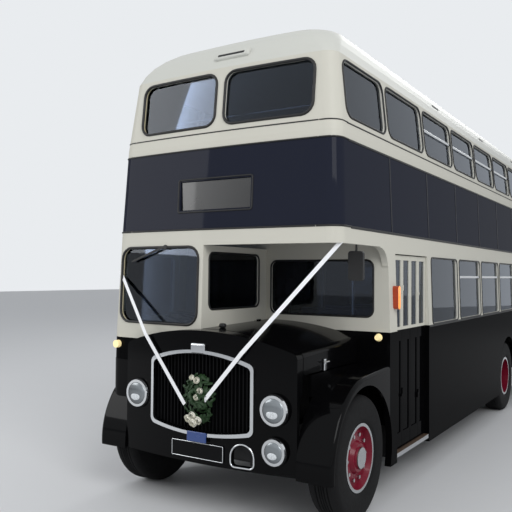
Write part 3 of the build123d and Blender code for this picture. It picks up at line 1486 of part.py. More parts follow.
# Bouquet on the grille, and ribbons from it to the cab corner and the canopy corner
BOUQUET = (-30, 1000, 150, 235)
with BuildPart() as bouquet:
    for station, inset in [(GRILLE_FACE - FIT, 40), (-40, 0), (-BOUQUET_PROUD, 80)]:
        with BuildSketch(Plane.XZ.offset(-along(station))):
            with Locations((BOUQUET[0], BOUQUET[1])):
                half = BOUQUET[2] - inset
                RectangleRounded(2 * half, 2 * (BOUQUET[3] - inset), half - 1)
    loft(ruled=True)
save(bouquet, "bouquet")

RIBBON = (45, 3)
# each ribbon: the points it runs through, X, station, height
RIBBON_ROUTES = [
    [(1176, 303, 2343), (440, -24, 1424), (100, -50, 1030)],
    [(-1168, 252, 2110), (-680, 18, 1515), (-140, -48, 985)],
]
with BuildPart() as ribbons:
    for route in RIBBON_ROUTES:
        for a, b in zip(route[:-1], route[1:]):
            start = Vector(a[0], along(a[1]), a[2])
            end = Vector(b[0], along(b[1]), b[2])
            run = (end - start).normalized()
            flat = Vector(0, 1, 0).cross(run).normalized()
            with BuildSketch(Plane(origin=start, x_dir=flat, z_dir=run)):
                Rectangle(*RIBBON)
            extrude(amount=(end - start).length + 2)
    add(body_solid(BODY, 0), mode=Mode.SUBTRACT)
    add(bouquet.part, mode=Mode.SUBTRACT)
    add(front_cowl.part, mode=Mode.SUBTRACT)
    add(grille_frame.part, mode=Mode.SUBTRACT)
save(ribbons, "ribbons")
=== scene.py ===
import math
import random
import bpy
from mathutils import Matrix, Vector


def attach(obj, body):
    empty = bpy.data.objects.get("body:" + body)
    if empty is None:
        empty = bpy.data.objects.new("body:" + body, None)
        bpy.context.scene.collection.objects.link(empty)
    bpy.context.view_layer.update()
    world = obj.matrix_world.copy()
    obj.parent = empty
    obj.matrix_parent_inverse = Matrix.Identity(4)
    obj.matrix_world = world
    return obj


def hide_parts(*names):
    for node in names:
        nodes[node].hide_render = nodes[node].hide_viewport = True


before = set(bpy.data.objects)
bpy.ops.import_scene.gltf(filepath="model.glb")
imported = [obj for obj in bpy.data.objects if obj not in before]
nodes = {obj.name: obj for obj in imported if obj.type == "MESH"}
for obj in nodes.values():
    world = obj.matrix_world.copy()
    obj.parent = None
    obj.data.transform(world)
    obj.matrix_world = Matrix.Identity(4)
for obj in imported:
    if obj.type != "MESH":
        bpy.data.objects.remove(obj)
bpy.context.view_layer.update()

# Setting out of a half-cab double decker: stations run back from the front of the cowl, X points to
# the nearside and Z up from the road, all in metres.
ORIGIN = 4.517
QUARTER = math.pi / 2


def at(x, station, z):
    return Vector((x, station - ORIGIN, z))


# Body panels: metal sheet screwed to a framed body, enamelled outside and lined with pale laminate.
# The enamel is in level bands that change at the waist and at both edges of the dark band, and the
# skirts are dark inside, below the floor.
WAIST, CAB_WAIST, BAND_LOW, BAND_TOP = 1.535, 1.45, 2.465, 3.19
FLOOR_LEVEL, HEIGHT = 0.72, 4.4
STRAIGHT = 3.2  # the sides run straight this far each way from the middle
CREAM, DARK, BLACK, LAMINATE = "#cbc9be", "#212430", "#070708", "#c9bf9f"


def linear(code):
    parts = [int(code[k:k + 2], 16) / 255 for k in (1, 3, 5)]
    return [p / 12.92 if p <= 0.04045 else ((p + 0.055) / 1.055) ** 2.4 for p in parts] + [1.0]


def add(tree, kind, links=None, **values):
    # one node with its settings, and the links that come into it
    n = tree.nodes.new("ShaderNode" + kind)
    for key, value in values.items():
        n.inputs[key.replace("_", " ")].default_value = value
    for key, socket in (links or {}).items():
        tree.links.new(socket, n.inputs[key])
    return n


def finish(name, colour, rough=0.5, metal=0.0, coat=0.0, glow=0.0, shine=0.5):
    m = bpy.data.materials.new(name)
    m.use_nodes = True
    b = m.node_tree.nodes["Principled BSDF"]
    b.inputs["Base Color"].default_value = linear(colour)
    b.inputs["Roughness"].default_value = rough
    b.inputs["Metallic"].default_value = metal
    b.inputs["Coat Weight"].default_value = coat
    b.inputs["Coat Roughness"].default_value = 0.04
    b.inputs["Specular IOR Level"].default_value = shine
    if glow:
        b.inputs["Emission Color"].default_value = linear(colour)
        b.inputs["Emission Strength"].default_value = glow
    return m


def grain(m, size, low, high, bump=0.0, stretch=(1, 1, 1)):
    # uneven gloss between two roughnesses, and a relief, in grains of a size in millimetres
    tree = m.node_tree
    shader = tree.nodes["Principled BSDF"]
    place = add(tree, "TexCoord").outputs["Object"]
    spread = add(tree, "Mapping", {"Vector": place}, Scale=stretch).outputs["Vector"]
    noise = add(tree, "TexNoise", {"Vector": spread}, Scale=1000 / size, Detail=4.0).outputs["Fac"]
    gloss = add(tree, "MapRange", {"Value": noise}, To_Min=low, To_Max=high)
    tree.links.new(gloss.outputs["Result"], shader.inputs["Roughness"])
    if bump:
        relief = add(tree, "Bump", {"Height": noise}, Strength=bump, Distance=0.01)
        tree.links.new(relief.outputs["Normal"], shader.inputs["Normal"])
    return m


def banded(name, bands):
    # each band is a height from which a colour holds
    m = finish(name, CREAM, 0.2, coat=0.12, shine=0.0)
    tree = m.node_tree
    place = add(tree, "TexCoord").outputs["Object"]
    level = add(tree, "SeparateXYZ", {"Vector": place}).outputs["Z"]
    share = add(tree, "MapRange", {"Value": level}, From_Min=0.0, From_Max=HEIGHT).outputs["Result"]
    ramp = add(tree, "ValToRGB", {"Fac": share})
    ramp.color_ramp.interpolation = "CONSTANT"
    steps = ramp.color_ramp.elements
    while len(steps) < len(bands):
        steps.new(0.5)
    for step, (z, colour) in zip(steps, bands):
        step.position = z / HEIGHT
        step.color = linear(colour)
    tree.links.new(ramp.outputs["Color"], tree.nodes["Principled BSDF"].inputs["Base Color"])
    return grain(m, 1250, 0.16, 0.3)


def dress(name, finishes, which=None):
    mesh = nodes[name].data
    mesh.materials.clear()
    for one in finishes:
        mesh.materials.append(one)
    for face in mesh.polygons:
        face.material_index = which(face) if which else 0


def skin(face):
    # 0 looks out of the bus, 1 looks in, 2 is an edge
    c, n = face.center, face.normal
    out = Vector((c.x, c.y - max(-STRAIGHT, min(STRAIGHT, c.y)), 0)).normalized()
    way = n.x * out.x + n.y * out.y
    return 0 if way > 0.35 else (1 if way < -0.35 else 2)


# coach enamel, brushed and varnished: deep colour under a thin gloss with slow waves in it
coach = banded("coach_paint", [(0, BLACK), (WAIST, CREAM), (BAND_LOW, DARK), (BAND_TOP, CREAM)])
cab_paint = banded("cab_paint", [(0, BLACK), (CAB_WAIST, CREAM), (BAND_LOW, DARK), (BAND_TOP, CREAM)])
# laminate sheet: even and half matt
lining = grain(finish("lining", LAMINATE, 0.5), 333, 0.45, 0.6)
skirt_lining = banded("skirt_lining", [(0, "#161617"), (FLOOR_LEVEL, LAMINATE)])
for name in ("upper_side_nearside", "upper_side_offside", "upper_rear", "upper_front", "lower_side_nearside",
             "lower_side_offside", "lower_rear", "lower_exit", "upper_exit"):
    dress(name, [coach, skirt_lining if "lower" in name else lining, coach], skin)
for name in ("cab_front", "cab_door"):
    dress(name, [cab_paint, lining, cab_paint], skin)
dress("entrance_frame", [coach])
dress("front_bulkhead", [coach, lining], lambda f: 1 if f.normal.y > 0.5 else 0)
dress("cab_wall", [cab_paint, lining], lambda f: 1 if f.normal.x < -0.5 else 0)

# Roof: a domed metal skin, sprayed off-white and weathered to half matt, over a pale lining. Its
# facets are welded, then split at the sharp edges, so that the dome shades as one curve.
roof_white = grain(finish("roof_paint", "#c9cac3", 0.4, shine=0.2), 1430, 0.35, 0.5)
dress("roof", [roof_white, lining], lambda f: 1 if f.normal.z < -0.02 else 0)
for kind in ("WELD", "EDGE_SPLIT"):
    nodes["roof"].modifiers.new(kind.lower(), kind)
nodes["roof"].modifiers["weld"].merge_threshold = 0.0005
nodes["roof"].modifiers["edge_split"].split_angle = 0.6

# Chassis: a riveted steel frame with its axles and springs, brushed black, and a bare iron engine
# block bolted between the side members. The cab floor is plate of the same black.
# brushed chassis black: matt and a little rough; cast iron: dull metal with a sandy skin, which is
# drawn coarser than it is so that it shows
chassis = grain(finish("chassis_black", "#1a1a1b", 0.6), 111, 0.5, 0.8, 0.1)
iron = grain(finish("cast_iron", "#3a3a3b", 0.6, 0.6), 33, 0.5, 0.8, 0.2)
for name in ("chassis_frame", "front_axle", "rear_axle", "knuckle_nearside", "knuckle_offside", "cab_floor"):
    dress(name, [chassis])
dress("engine", [iron])

# Floors and stairs: boards with hardwood slats on top, screwed to the body's cross members, a
# bright tread edge at the doorway, and polished rails to hold.
# varnished board: brown with a long grain; slats: fine ridges along the bus; polished metal: a soft
# mirror
brown = grain(finish("brown_board", "#4a3326", 0.5), 125, 0.4, 0.6, stretch=(1, 8, 1))
slats = grain(finish("floor_slats", "#4b3a2c", 0.6), 83, 0.5, 0.75, 0.1, (30, 1, 1))
bright = grain(finish("bright_metal", "#c2c4c6", 0.22, 1.0), 125, 0.16, 0.32)
TREAD_X = 1.21
dress("upper_floor", [brown, slats], lambda f: 1 if f.normal.z > 0.5 else 0)
dress("lower_floor", [chassis, slats, bright],
      lambda f: 2 if f.center.x > TREAD_X else (1 if f.normal.z > 0.5 else 0))
dress("staircase", [brown, slats], lambda f: 1 if f.normal.z > 0.5 else 0)
dress("handrails", [bright])

# Front end: pressed steel cowl, wings and bonnet lid in gloss black, with a plated surround to the
# grille. The slats are a duller black, and the cab's small fittings are rubber.
# gloss black: deep, with a thin clear coat; chrome plate: a clean mirror; moulded rubber: dull, with
# a grain that is drawn coarser than it is so that it shows
black = grain(finish("black_paint", BLACK, 0.15, coat=0.16, shine=0.02), 1110, 0.1, 0.22)
grille_black = grain(finish("grille_black", "#08080a", 0.6, shine=0.1), 167, 0.5, 0.7)
chrome = grain(finish("chrome", "#d6d8da", 0.08, 1.0), 200, 0.05, 0.13)
rubber = grain(finish("rubber", "#0d0d0e", 0.55), 40, 0.48, 0.65, 0.05)
for name in ("front_cowl", "front_wings", "bonnet"):
    dress(name, [black])
dress("grille", [grille_black])
dress("grille_frame", [chrome])
dress("cab_fittings", [rubber])

# Flashers and rear lamps: moulded lenses screwed to the panels. The flashers glow amber to the side
# on a darker base, and the rear ones are deep red.
# moulded lens: glossy, with small ripples that break up the light
amber = grain(finish("amber_lens", "#ff9a1f", 0.15, coat=0.6, glow=0.55), 11.1, 0.1, 0.25, 0.15)
flasher_base = grain(finish("flasher_base", "#a8380c", 0.3, coat=0.3), 16.7, 0.25, 0.4, 0.1)
red_lens = grain(finish("red_lens", "#9c0f12", 0.12, coat=0.8), 11.1, 0.08, 0.2, 0.15)
dress("flashers", [flasher_base, amber], lambda f: 1 if abs(f.normal.x) > 0.9 else 0)
dress("rear_lamps", [red_lens])

# Glass: flat panes in the windows, the doors and the four folding leaves. Each pane is mostly
# see-through and a little grey, with a reflection that grows towards grazing angles.
glass = bpy.data.materials.new("window_glass")
glass.use_nodes = True
pane = glass.node_tree
pane.nodes.remove(pane.nodes["Principled BSDF"])
mix = add(pane, "MixShader", {
    0: add(pane, "Fresnel", IOR=1.42).outputs["Fac"],
    1: add(pane, "BsdfTransparent", Color=linear("#bcc3ce")).outputs["BSDF"],
    2: add(pane, "BsdfGlossy", Color=linear("#e8eef7"), Roughness=0.02).outputs["BSDF"],
})
pane.links.new(mix.outputs["Shader"], pane.nodes["Material Output"].inputs["Surface"])
for name in ("upper_glass", "lower_glass", "cab_door_glass", "lower_exit_glass", "upper_exit_glass"):
    dress(name, [glass])
# the pane of a folding leaf is the inner solid between the leaf's faces
PANE_X, PANE_Z = (1.1585, 1.1645), (1.573, 2.224)


def leaf_face(face):
    c = face.center
    return 1 if PANE_X[0] < c.x < PANE_X[1] and PANE_Z[0] < c.z < PANE_Z[1] else 0


for number in range(1, 5):
    dress(f"door_leaf_{number}", [coach, glass], leaf_face)

# Window rubbers: a soft black section pushed round each opening's edge. Each is a rounded outline
# that is pressed on to its panel and given a round section.
VIEWS = {
    "nearside": (QUARTER, 0, QUARTER),
    "offside": (QUARTER, 0, -QUARTER),
    "front": (QUARTER, 0, 0),
    "rear": (QUARTER, 0, 2 * QUARTER),
    "near_corner": (QUARTER, 0, QUARTER / 2),
    "off_corner": (QUARTER, 0, -QUARTER / 2),
}
BAY = 1.105
PILLARS = [1.4 + BAY * k for k in range(7)]
UPPER = [(0.48, 1.36)] + [(PILLARS[k] + 0.04, PILLARS[k + 1] - 0.04) for k in range(6)]
UPPER += [(PILLARS[6] + 0.04, 8.785)]
LOWER = [(PILLARS[k] + 0.052, PILLARS[k + 1] - 0.05) for k in range(1, 6)] + [(PILLARS[6] + 0.052, 8.77)]
STAIR = [(1.5, PILLARS[1] - 0.05)]
# each deck's side windows: height of the middle, height, corner, and section of the rubber
UPPER_LIGHT, LOWER_LIGHT = (3.64, 0.48, 0.09, 0.011), (1.911, 0.702, 0.045, 0.008)
EDGE = 0.008  # the rubber's middle line stands this far outside the opening
CLEAR = 1.5  # half width from which outlines are pressed on to the sides
AHEAD = -0.3  # station from which outlines are pressed on to the front


def clear():
    if bpy.context.object and bpy.context.object.mode != "OBJECT":
        bpy.ops.object.mode_set(mode="OBJECT")
    bpy.ops.object.select_all(action="DESELECT")


def only(obj):
    clear()
    obj.select_set(True)
    bpy.context.view_layer.objects.active = obj


def settle(obj, name, material):
    # place and size go into the mesh
    only(obj)
    bpy.ops.object.transform_apply(location=True, rotation=True, scale=True)
    obj.name = name
    obj.data.materials.clear()
    obj.data.materials.append(material)
    return obj


def soften(obj, angle=0.6):
    only(obj)
    bpy.ops.object.shade_smooth_by_angle(angle=angle)
    return obj


def join(objs, name):
    clear()
    for o in objs:
        o.select_set(True)
    bpy.context.view_layer.objects.active = objs[0]
    if len(objs) > 1:
        bpy.ops.object.join()
    objs[0].name = name
    return objs[0]


def pick(o, test, edges=False):
    # in edit mode, select the vertices or edges that pass a test, and nothing else
    bpy.ops.object.mode_set(mode="EDIT")
    bpy.ops.mesh.select_all(action="DESELECT")
    bpy.ops.object.mode_set(mode="OBJECT")
    for item in (o.data.edges if edges else o.data.vertices):
        item.select = test(item)
    bpy.ops.object.mode_set(mode="EDIT")


def sheet_of(place, view, width, height):
    clear()
    bpy.ops.mesh.primitive_plane_add(size=1, location=place, rotation=VIEWS[view])
    o = bpy.context.object
    o.scale = (width, height, 1)
    bpy.ops.object.transform_apply(location=False, rotation=False, scale=True)
    return o


def lay(o, target, tube, material):
    # press an outline on to a panel and give it a round section
    bpy.ops.object.mode_set(mode="OBJECT")
    if target:
        wrap = o.modifiers.new("lay", "SHRINKWRAP")
        wrap.target = nodes[target]
        wrap.wrap_method = "PROJECT"
        wrap.use_project_z = True
        wrap.use_negative_direction = True
        wrap.use_positive_direction = False
        bpy.ops.object.modifier_apply(modifier="lay")
    bpy.ops.object.convert(target="CURVE")
    o = bpy.context.object
    o.data.bevel_depth = tube
    o.data.bevel_resolution = 1
    bpy.ops.object.convert(target="MESH")
    return soften(settle(bpy.context.object, "bead", material), 1.2)


def span(o, e):
    a, b = (o.data.vertices[k].co for k in e.vertices)
    return (a - b).length


def ring(target, view, place, width, height, corner, tube, material, top=None):
    # the upper corners may be rounder than the lower ones
    o = sheet_of(place, view, width, height)
    for level, offset in ((1, top or corner), (-1, corner)):
        pick(o, lambda v: abs(v.co.y - level * height / 2) < 1e-5)
        bpy.ops.mesh.bevel(offset=offset, segments=8 if top else 5, affect="VERTICES")
    bpy.ops.mesh.select_all(action="SELECT")
    bpy.ops.mesh.delete(type="ONLY_FACE")
    pick(o, lambda e: span(o, e) > 0.2, True)
    bpy.ops.mesh.subdivide(number_cuts=5)
    return lay(o, target, tube, material)


def rim_of(name, view, place, width, height, corner, tube):
    return ring(name, view, place, width + 2 * EDGE, height + 2 * EDGE, corner + EDGE, tube, rubber)


rubbers = []
for side, x, lower in (("nearside", CLEAR, LOWER), ("offside", -CLEAR, STAIR + LOWER)):
    for deck, windows, (z, *shape) in (("upper", UPPER, UPPER_LIGHT), ("lower", lower, LOWER_LIGHT)):
        for start, stop in windows:
            place = at(x, (start + stop) / 2, z)
            rubbers.append(rim_of(f"{deck}_side_{side}", side, place, stop - start, *shape))
for side in (-1, 1):
    rubbers.append(rim_of("upper_front", "front", at(side * 0.4865, AHEAD, 3.641), 0.863, 0.466, 0.095, 0.014))
rubbers = join(rubbers, "window_rubbers")
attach(rubbers, "bus")

# Rubbers of the cab screen, the cab's inner window and the bulkhead, and of the three hinged doors,
# whose rubbers move with them. The section is of the same kind as round the saloon windows.
# each: its panel, the way it faces, the middle of its window, width, height, corner and section
CAB_LIGHTS = [
    ("cab_front", "front", at(-0.636, AHEAD, 1.965), 0.928, 0.686, 0.105, 0.013),
    ("cab_wall", "nearside", at(0.5, 0.7025, 2.009), 0.835, 0.498, 0.055, 0.01),
    ("front_bulkhead", "front", at(0.4975, 0.9, 1.9475), 1.095, 0.515, 0.06, 0.01),
]
DOOR_LIGHTS = [
    ("cab_door", "offside", at(-CLEAR, 0.7875, 1.945), 0.565, 0.61, 0.05, 0.012),
    ("lower_exit", "rear", at(-0.004, 9.4, 1.8775), 0.49, 0.635, 0.05, 0.012),
    ("upper_exit", "rear", at(-0.004, 9.4, 3.6025), 0.63, 0.405, 0.05, 0.012),
]
cab_rubbers = join([rim_of(*row) for row in CAB_LIGHTS], "cab_rubbers")
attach(cab_rubbers, "bus")
for row in DOOR_LIGHTS:
    rim = rim_of(*row)
    rim.name = f"{row[0]}_rubber"
    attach(rim, row[0])

# Slider bars: bright metal rails across the windows that open, screwed to the pillars at both ends.
# They sit just inside the outer skin, which leans in towards the roof.
# the body's outer skin: height and half width
SKIN = [(0.32, 1.219), (1.535, 1.219), (2.33, 1.1942), (2.465, 1.19), (3.26, 1.157), (3.93, 1.087)]


def along(rows, z):
    # straight lines between the rows
    for (z0, a0), (z1, a1) in zip(rows, rows[1:]):
        if z <= z1:
            return a0 + (a1 - a0) * (z - z0) / (z1 - z0)
    return rows[-1][1]


def half(z):
    return along(SKIN, z)


def block(name, place, size, material, bevel=0.0, turn=(0, 0, 0), segments=2):
    clear()
    bpy.ops.mesh.primitive_cube_add(size=1, location=place)
    o = bpy.context.object
    o.scale = size
    bpy.ops.object.transform_apply(location=False, rotation=False, scale=True)
    if bevel:
        bpy.ops.object.mode_set(mode="EDIT")
        bpy.ops.mesh.select_all(action="SELECT")
        bpy.ops.mesh.bevel(offset=bevel, segments=segments, affect="EDGES")
        bpy.ops.object.mode_set(mode="OBJECT")
    o.rotation_euler = turn
    return settle(o, name, material)


bars = []
for side in (-1, 1):
    for z, windows in ((3.67, UPPER[2:6]), (2.06, LOWER[1:])):
        for start, stop in windows:
            place = at(side * (half(z) - 0.014), (start + stop) / 2, z)
            bars.append(block("bar", place, (0.022, stop - start - 0.01, 0.03), bright, 0.004))
bars = join(bars, "slider_bars")
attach(bars, "bus")

# Cover strips over the upright joints of the dark panels, painted as they are, and rubber beads
# where two paints meet, which run round the front corners. All are pinned to the panels.
# painted strip: as dark as the band, and duller
strip_dark = grain(finish("strip_dark", "#10121b", 0.5, shine=0.2), 167, 0.4, 0.6)
BEAD_FRONT, BEAD_REAR, BEAD_DEEP = 0.46, 8.85, 0.012
STRIP, STRIP_Z = (0.007, 0.03, 0.70), 2.83
# the upper front on the middle line: height and station; half its width to the joints, and its bow
FRONT = [(2.465, 0.195), (3.26, 0.232), (3.93, 0.3)]
JOINT, BOW = 0.985, 0.045
DIAGONAL, AWAY = math.sqrt(0.5), 0.9  # corner beads are pressed on at 45 degrees from this far off
# each level bead: where it runs, how tall it is on the sides, its round section at the front
BEADS = [(BAND_LOW, 0.022, 0.009), (BAND_TOP, 0.02, 0.008), (3.335, 0.012, 0.006)]


def line(target, view, place, width, tube, material):
    # a level line laid on a panel and given a round section
    o = sheet_of(place, view, width, 0.01)
    bpy.ops.object.mode_set(mode="EDIT")
    bpy.ops.mesh.delete(type="ONLY_FACE")
    pick(o, lambda v: v.co.y < 0)
    bpy.ops.mesh.delete(type="VERT")
    bpy.ops.mesh.select_all(action="SELECT")
    bpy.ops.mesh.subdivide(number_cuts=15)
    return lay(o, target, tube, material)


strips = []
lean = math.atan2(half(2.48) - half(3.18), 0.7)
for side in (-1, 1):
    for station in PILLARS + [8.83]:
        place = at(side * half(STRIP_Z), station, STRIP_Z)
        strips.append(block("strip", place, STRIP, strip_dark, 0.002, (0, -side * lean, 0)))
    for z, tall, tube in BEADS:
        place = at(side * half(z), (BEAD_FRONT + BEAD_REAR) / 2, z)
        strips.append(block("bead", place, (BEAD_DEEP, BEAD_REAR - BEAD_FRONT, tall), rubber, 0.004))
for side, front in ((-1, 1.16), (1, 2.44)):
    place = at(side * 1.219, (front + BEAD_REAR) / 2, WAIST)
    strips.append(block("bead", place, (BEAD_DEEP, BEAD_REAR - front, 0.02), rubber, 0.004))
for z, tall, tube in BEADS:
    strips.append(line("upper_front", "front", at(0, AHEAD, z), 1.968, tube, rubber))
    # round the corner: the line as seen from 45 degrees, from the front joint to the side bead
    first = (JOINT + along(FRONT, z) + BOW * (JOINT / half(z)) ** 2) * DIAGONAL + 0.004
    last = (half(z) + BEAD_FRONT + 0.01) * DIAGONAL
    middle = (first + last) / 2
    x, s = (middle + AWAY) * DIAGONAL, (middle - AWAY) * DIAGONAL
    strips.append(line("upper_side_nearside", "near_corner", at(x, s, z), last - first, tube, rubber))
    strips.append(line("upper_side_offside", "off_corner", at(-x, s, z), last - first, tube, rubber))
strips = join(strips, "panel_beads")
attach(strips, "bus")

# Tyres: moulded rubber with a ribbed tread, single in front and in pairs behind. Each is a rounded
# section with grooves pushed into its crown, spun about the axle.
# tyre rubber: matt, almost black, with a dusty grain
AXLE = 0.525
TYRE_WIDTH, TYRE_WALL, SHOULDER = 0.27, 0.251, 0.062
GROOVES, GROOVE_DEPTH = (3, 7, 10, 13, 17), 0.011
tyre_rubber = grain(finish("tyre_rubber", "#111112", 0.8, shine=0.2), 25, 0.7, 0.95, 0.1)
# each wheel: its body, its tyre node, its rim node, station, places of its tyres, side
WHEELS = [
    ("front_wheel_nearside", "tyre_front_nearside", "rim_front_nearside", 0.724, (1.045,), 1),
    ("front_wheel_offside", "tyre_front_offside", "rim_front_offside", 0.724, (-1.045,), -1),
    ("rear_wheel_nearside", "tyres_rear_nearside", "rims_rear_nearside", 6.388, (0.715, 1.045), 1),
    ("rear_wheel_offside", "tyres_rear_offside", "rims_rear_offside", 6.388, (-0.715, -1.045), -1),
]


def tyre(x, station):
    clear()
    middle = at(x, station, 2 * AXLE - TYRE_WALL / 2)
    bpy.ops.mesh.primitive_plane_add(size=1, location=middle, rotation=(QUARTER, 0, 0))
    o = bpy.context.object
    o.scale = (TYRE_WIDTH, TYRE_WALL, 1)
    bpy.ops.object.transform_apply(location=True, rotation=True, scale=True)
    bpy.ops.object.mode_set(mode="EDIT")
    bpy.ops.mesh.bevel(offset=SHOULDER, segments=5, affect="VERTICES", profile=0.5)
    bpy.ops.mesh.delete(type="ONLY_FACE")
    pick(o, lambda e: all(o.data.vertices[k].co.z > 2 * AXLE - 1e-4 for k in e.vertices), True)
    bpy.ops.mesh.subdivide(number_cuts=19)
    bpy.ops.object.mode_set(mode="OBJECT")
    crown = sorted((v for v in o.data.vertices if v.co.z > 2 * AXLE - 1e-4), key=lambda v: v.co.x)
    grooves = {crown[k].index for k in GROOVES}
    pick(o, lambda v: v.index in grooves)
    bpy.ops.transform.translate(value=(0, 0, -GROOVE_DEPTH))
    bpy.ops.mesh.select_all(action="SELECT")
    bpy.ops.mesh.spin(steps=72, angle=2 * math.pi, center=at(x, station, AXLE), axis=(1, 0, 0))
    bpy.ops.mesh.select_all(action="SELECT")
    bpy.ops.mesh.remove_doubles(threshold=0.0002)
    bpy.ops.mesh.normals_make_consistent(inside=False)
    bpy.ops.object.mode_set(mode="OBJECT")
    return soften(settle(o, "tyre", tyre_rubber), 0.7)


for body, node, rim, station, places, side in WHEELS:
    tyres = join([tyre(x, station) for x in places], f"{node}_treaded")
    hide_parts(node)
    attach(tyres, body)

# Wheels: pressed steel discs in red enamel with a polished outer ring and a turned hub, each held
# by a ring of ten nuts, which stand on the disc.
# red enamel: glossy with slow waves; hub metal: dark turned steel
wheel_red = grain(finish("wheel_red", "#701026", 0.3, coat=0.12, shine=0.2), 250, 0.2, 0.4)
hub_metal = grain(finish("hub_metal", "#4c4844", 0.35, 1.0), 50, 0.3, 0.5)
NUTS, NUT_RADIUS = 10, 0.017
HUB_RADIUS, RING_RADIUS = 0.09, 0.262


def rod(name, a, b, radius, material, sides=10):
    clear()
    a, b = Vector(a), Vector(b)
    bpy.ops.mesh.primitive_cylinder_add(
        vertices=sides, radius=radius, depth=(b - a).length, location=(a + b) / 2)
    o = bpy.context.object
    o.rotation_euler = (b - a).to_track_quat("Z", "Y").to_euler()
    return soften(settle(o, name, material))


for body, node, rim, station, places, side in WHEELS:
    def ring_or_dish(face):
        c = face.center
        radius = math.hypot(c.y - (station - ORIGIN), c.z - AXLE)
        if radius < HUB_RADIUS and c.x * side > 1.0:
            return 2 if abs(face.normal.x) < 0.5 else 1
        return 1 if c.x * side > 1.1 and radius > RING_RADIUS else 0
    dress(rim, [wheel_red, bright, hub_metal], ring_or_dish)
    circle, face_x = (0.19, 1.118) if "front" in body else (0.205, 0.9)
    nuts = []
    for k in range(NUTS):
        turn = 2 * math.pi * k / NUTS
        spot = at(side * face_x, station, AXLE) + Vector((0, circle * math.cos(turn), circle * math.sin(turn)))
        inner, outer = spot - Vector((0.012 * side, 0, 0)), spot + Vector((0.02 * side, 0, 0))
        nuts.append(rod("nut", inner, outer, NUT_RADIUS, bright, 6))
    nuts = join(nuts, f"{rim}_nuts")
    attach(nuts, body)

# Seats: stuffed cushions and backs in blue cloth, sewn with a seam round the face that is sat on,
# on plain legs bolted to the floor. They stand where the plain seats of the CAD model do.
# woven cloth: matt, with a tuft that is drawn coarser than it is so that it shows
cloth = grain(finish("seat_cloth", "#2b3a66", 0.9), 16.7, 0.85, 1.0, 0.25)
CROWN = 0.016
# the seam and the crown inside it: width of each step and its rise
STUFFING = ((0.006, -0.006), (0.006, 0.006), (0.025, 0.008), (0.035, 0.006), (0.035, 0.002))
UPPER_FLOOR = 2.46
LOWER_ROWS = [2.64, 3.4, 4.16, 4.92, 7.09, 7.84]
UPPER_ROWS = [0.61 + 0.745 * k for k in range(10)]
# each seat: X of its ends, station and floor
lower_rows = [(0.25, 1.11, s, FLOOR_LEVEL) for s in LOWER_ROWS]
lower_rows += [(-1.11, -0.25, s, FLOOR_LEVEL) for s in LOWER_ROWS if s > 3.3]
lower_rows += [(-1.05, 1.05, 8.38, FLOOR_LEVEL)]
upper_rows = [(0.235, 1.06, s, UPPER_FLOOR) for s in UPPER_ROWS]
upper_rows += [(-1.06, -0.235, s, UPPER_FLOOR) for s in UPPER_ROWS if s < 0.7 or s > 3.1]
upper_rows += [(-1.0, 1.0, 8.27, UPPER_FLOOR)]


def pad(place, size, material, bevel, way, turn=(0, 0, 0)):
    # rounded sides, a sewn seam round the face that looks along way, and a crown inside the seam
    way = Vector(way)
    clear()
    bpy.ops.mesh.primitive_cube_add(size=1, location=Vector(place) - way * CROWN / 2)
    o = bpy.context.object
    o.scale = [length - CROWN * abs(axis) for length, axis in zip(size, way)]
    bpy.ops.object.transform_apply(location=False, rotation=False, scale=True)
    bpy.ops.object.mode_set(mode="EDIT")
    bpy.ops.mesh.select_all(action="SELECT")
    bpy.ops.mesh.bevel(offset=bevel, segments=3, affect="EDGES")
    bpy.ops.object.mode_set(mode="OBJECT")
    level = max(v.co.dot(way) for v in o.data.vertices)
    pick(o, lambda v: v.co.dot(way) > level - 1e-5)
    for rim, rise in STUFFING:
        bpy.ops.mesh.inset(thickness=rim, depth=rise)
    bpy.ops.object.mode_set(mode="OBJECT")
    o.rotation_euler = turn
    return soften(settle(o, "pad", material), 0.8)


def seat(x0, x1, station, floor, material):
    middle, width = (x0 + x1) / 2, x1 - x0
    tilt = (-math.atan2(0.07, 0.57), 0, 0)
    low, high = at(middle, station + 0.21, floor + 0.3925), at(middle, station + 0.47, floor + 0.64)
    cushion = pad(low, (width, 0.42, 0.125), material, 0.035, (0, 0, 1))
    back = pad(high, (width, 0.072, 0.51), material, 0.022, (0, -1, 0), tilt)
    leg = block("leg", at(middle, station + 0.22, floor + 0.17), (width - 0.3, 0.05, 0.33), chassis, 0.01)
    return [cushion, back], leg


for name, rows in (("lower_seats", lower_rows), ("upper_seats", upper_rows)):
    soft, legs = [], []
    for row in rows:
        pads, leg = seat(*row, cloth)
        soft += pads
        legs.append(leg)
    if name == "lower_seats":
        # benches over the wheel boxes, facing across the bus
        for side in (-1, 1):
            soft.append(pad(at(side * 0.80, 6.388, 1.152), (0.46, 1.12, 0.12), cloth, 0.032, (0, 0, 1)))
            soft.append(pad(at(side * 1.09, 6.388, 1.34), (0.07, 1.12, 0.29), cloth, 0.02, (-side, 0, 0)))
    soft = join(soft, f"{name}_stuffed")
    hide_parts(name)
    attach(soft, "bus")
    legs = join(legs, f"{name}_legs")
    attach(legs, "bus")

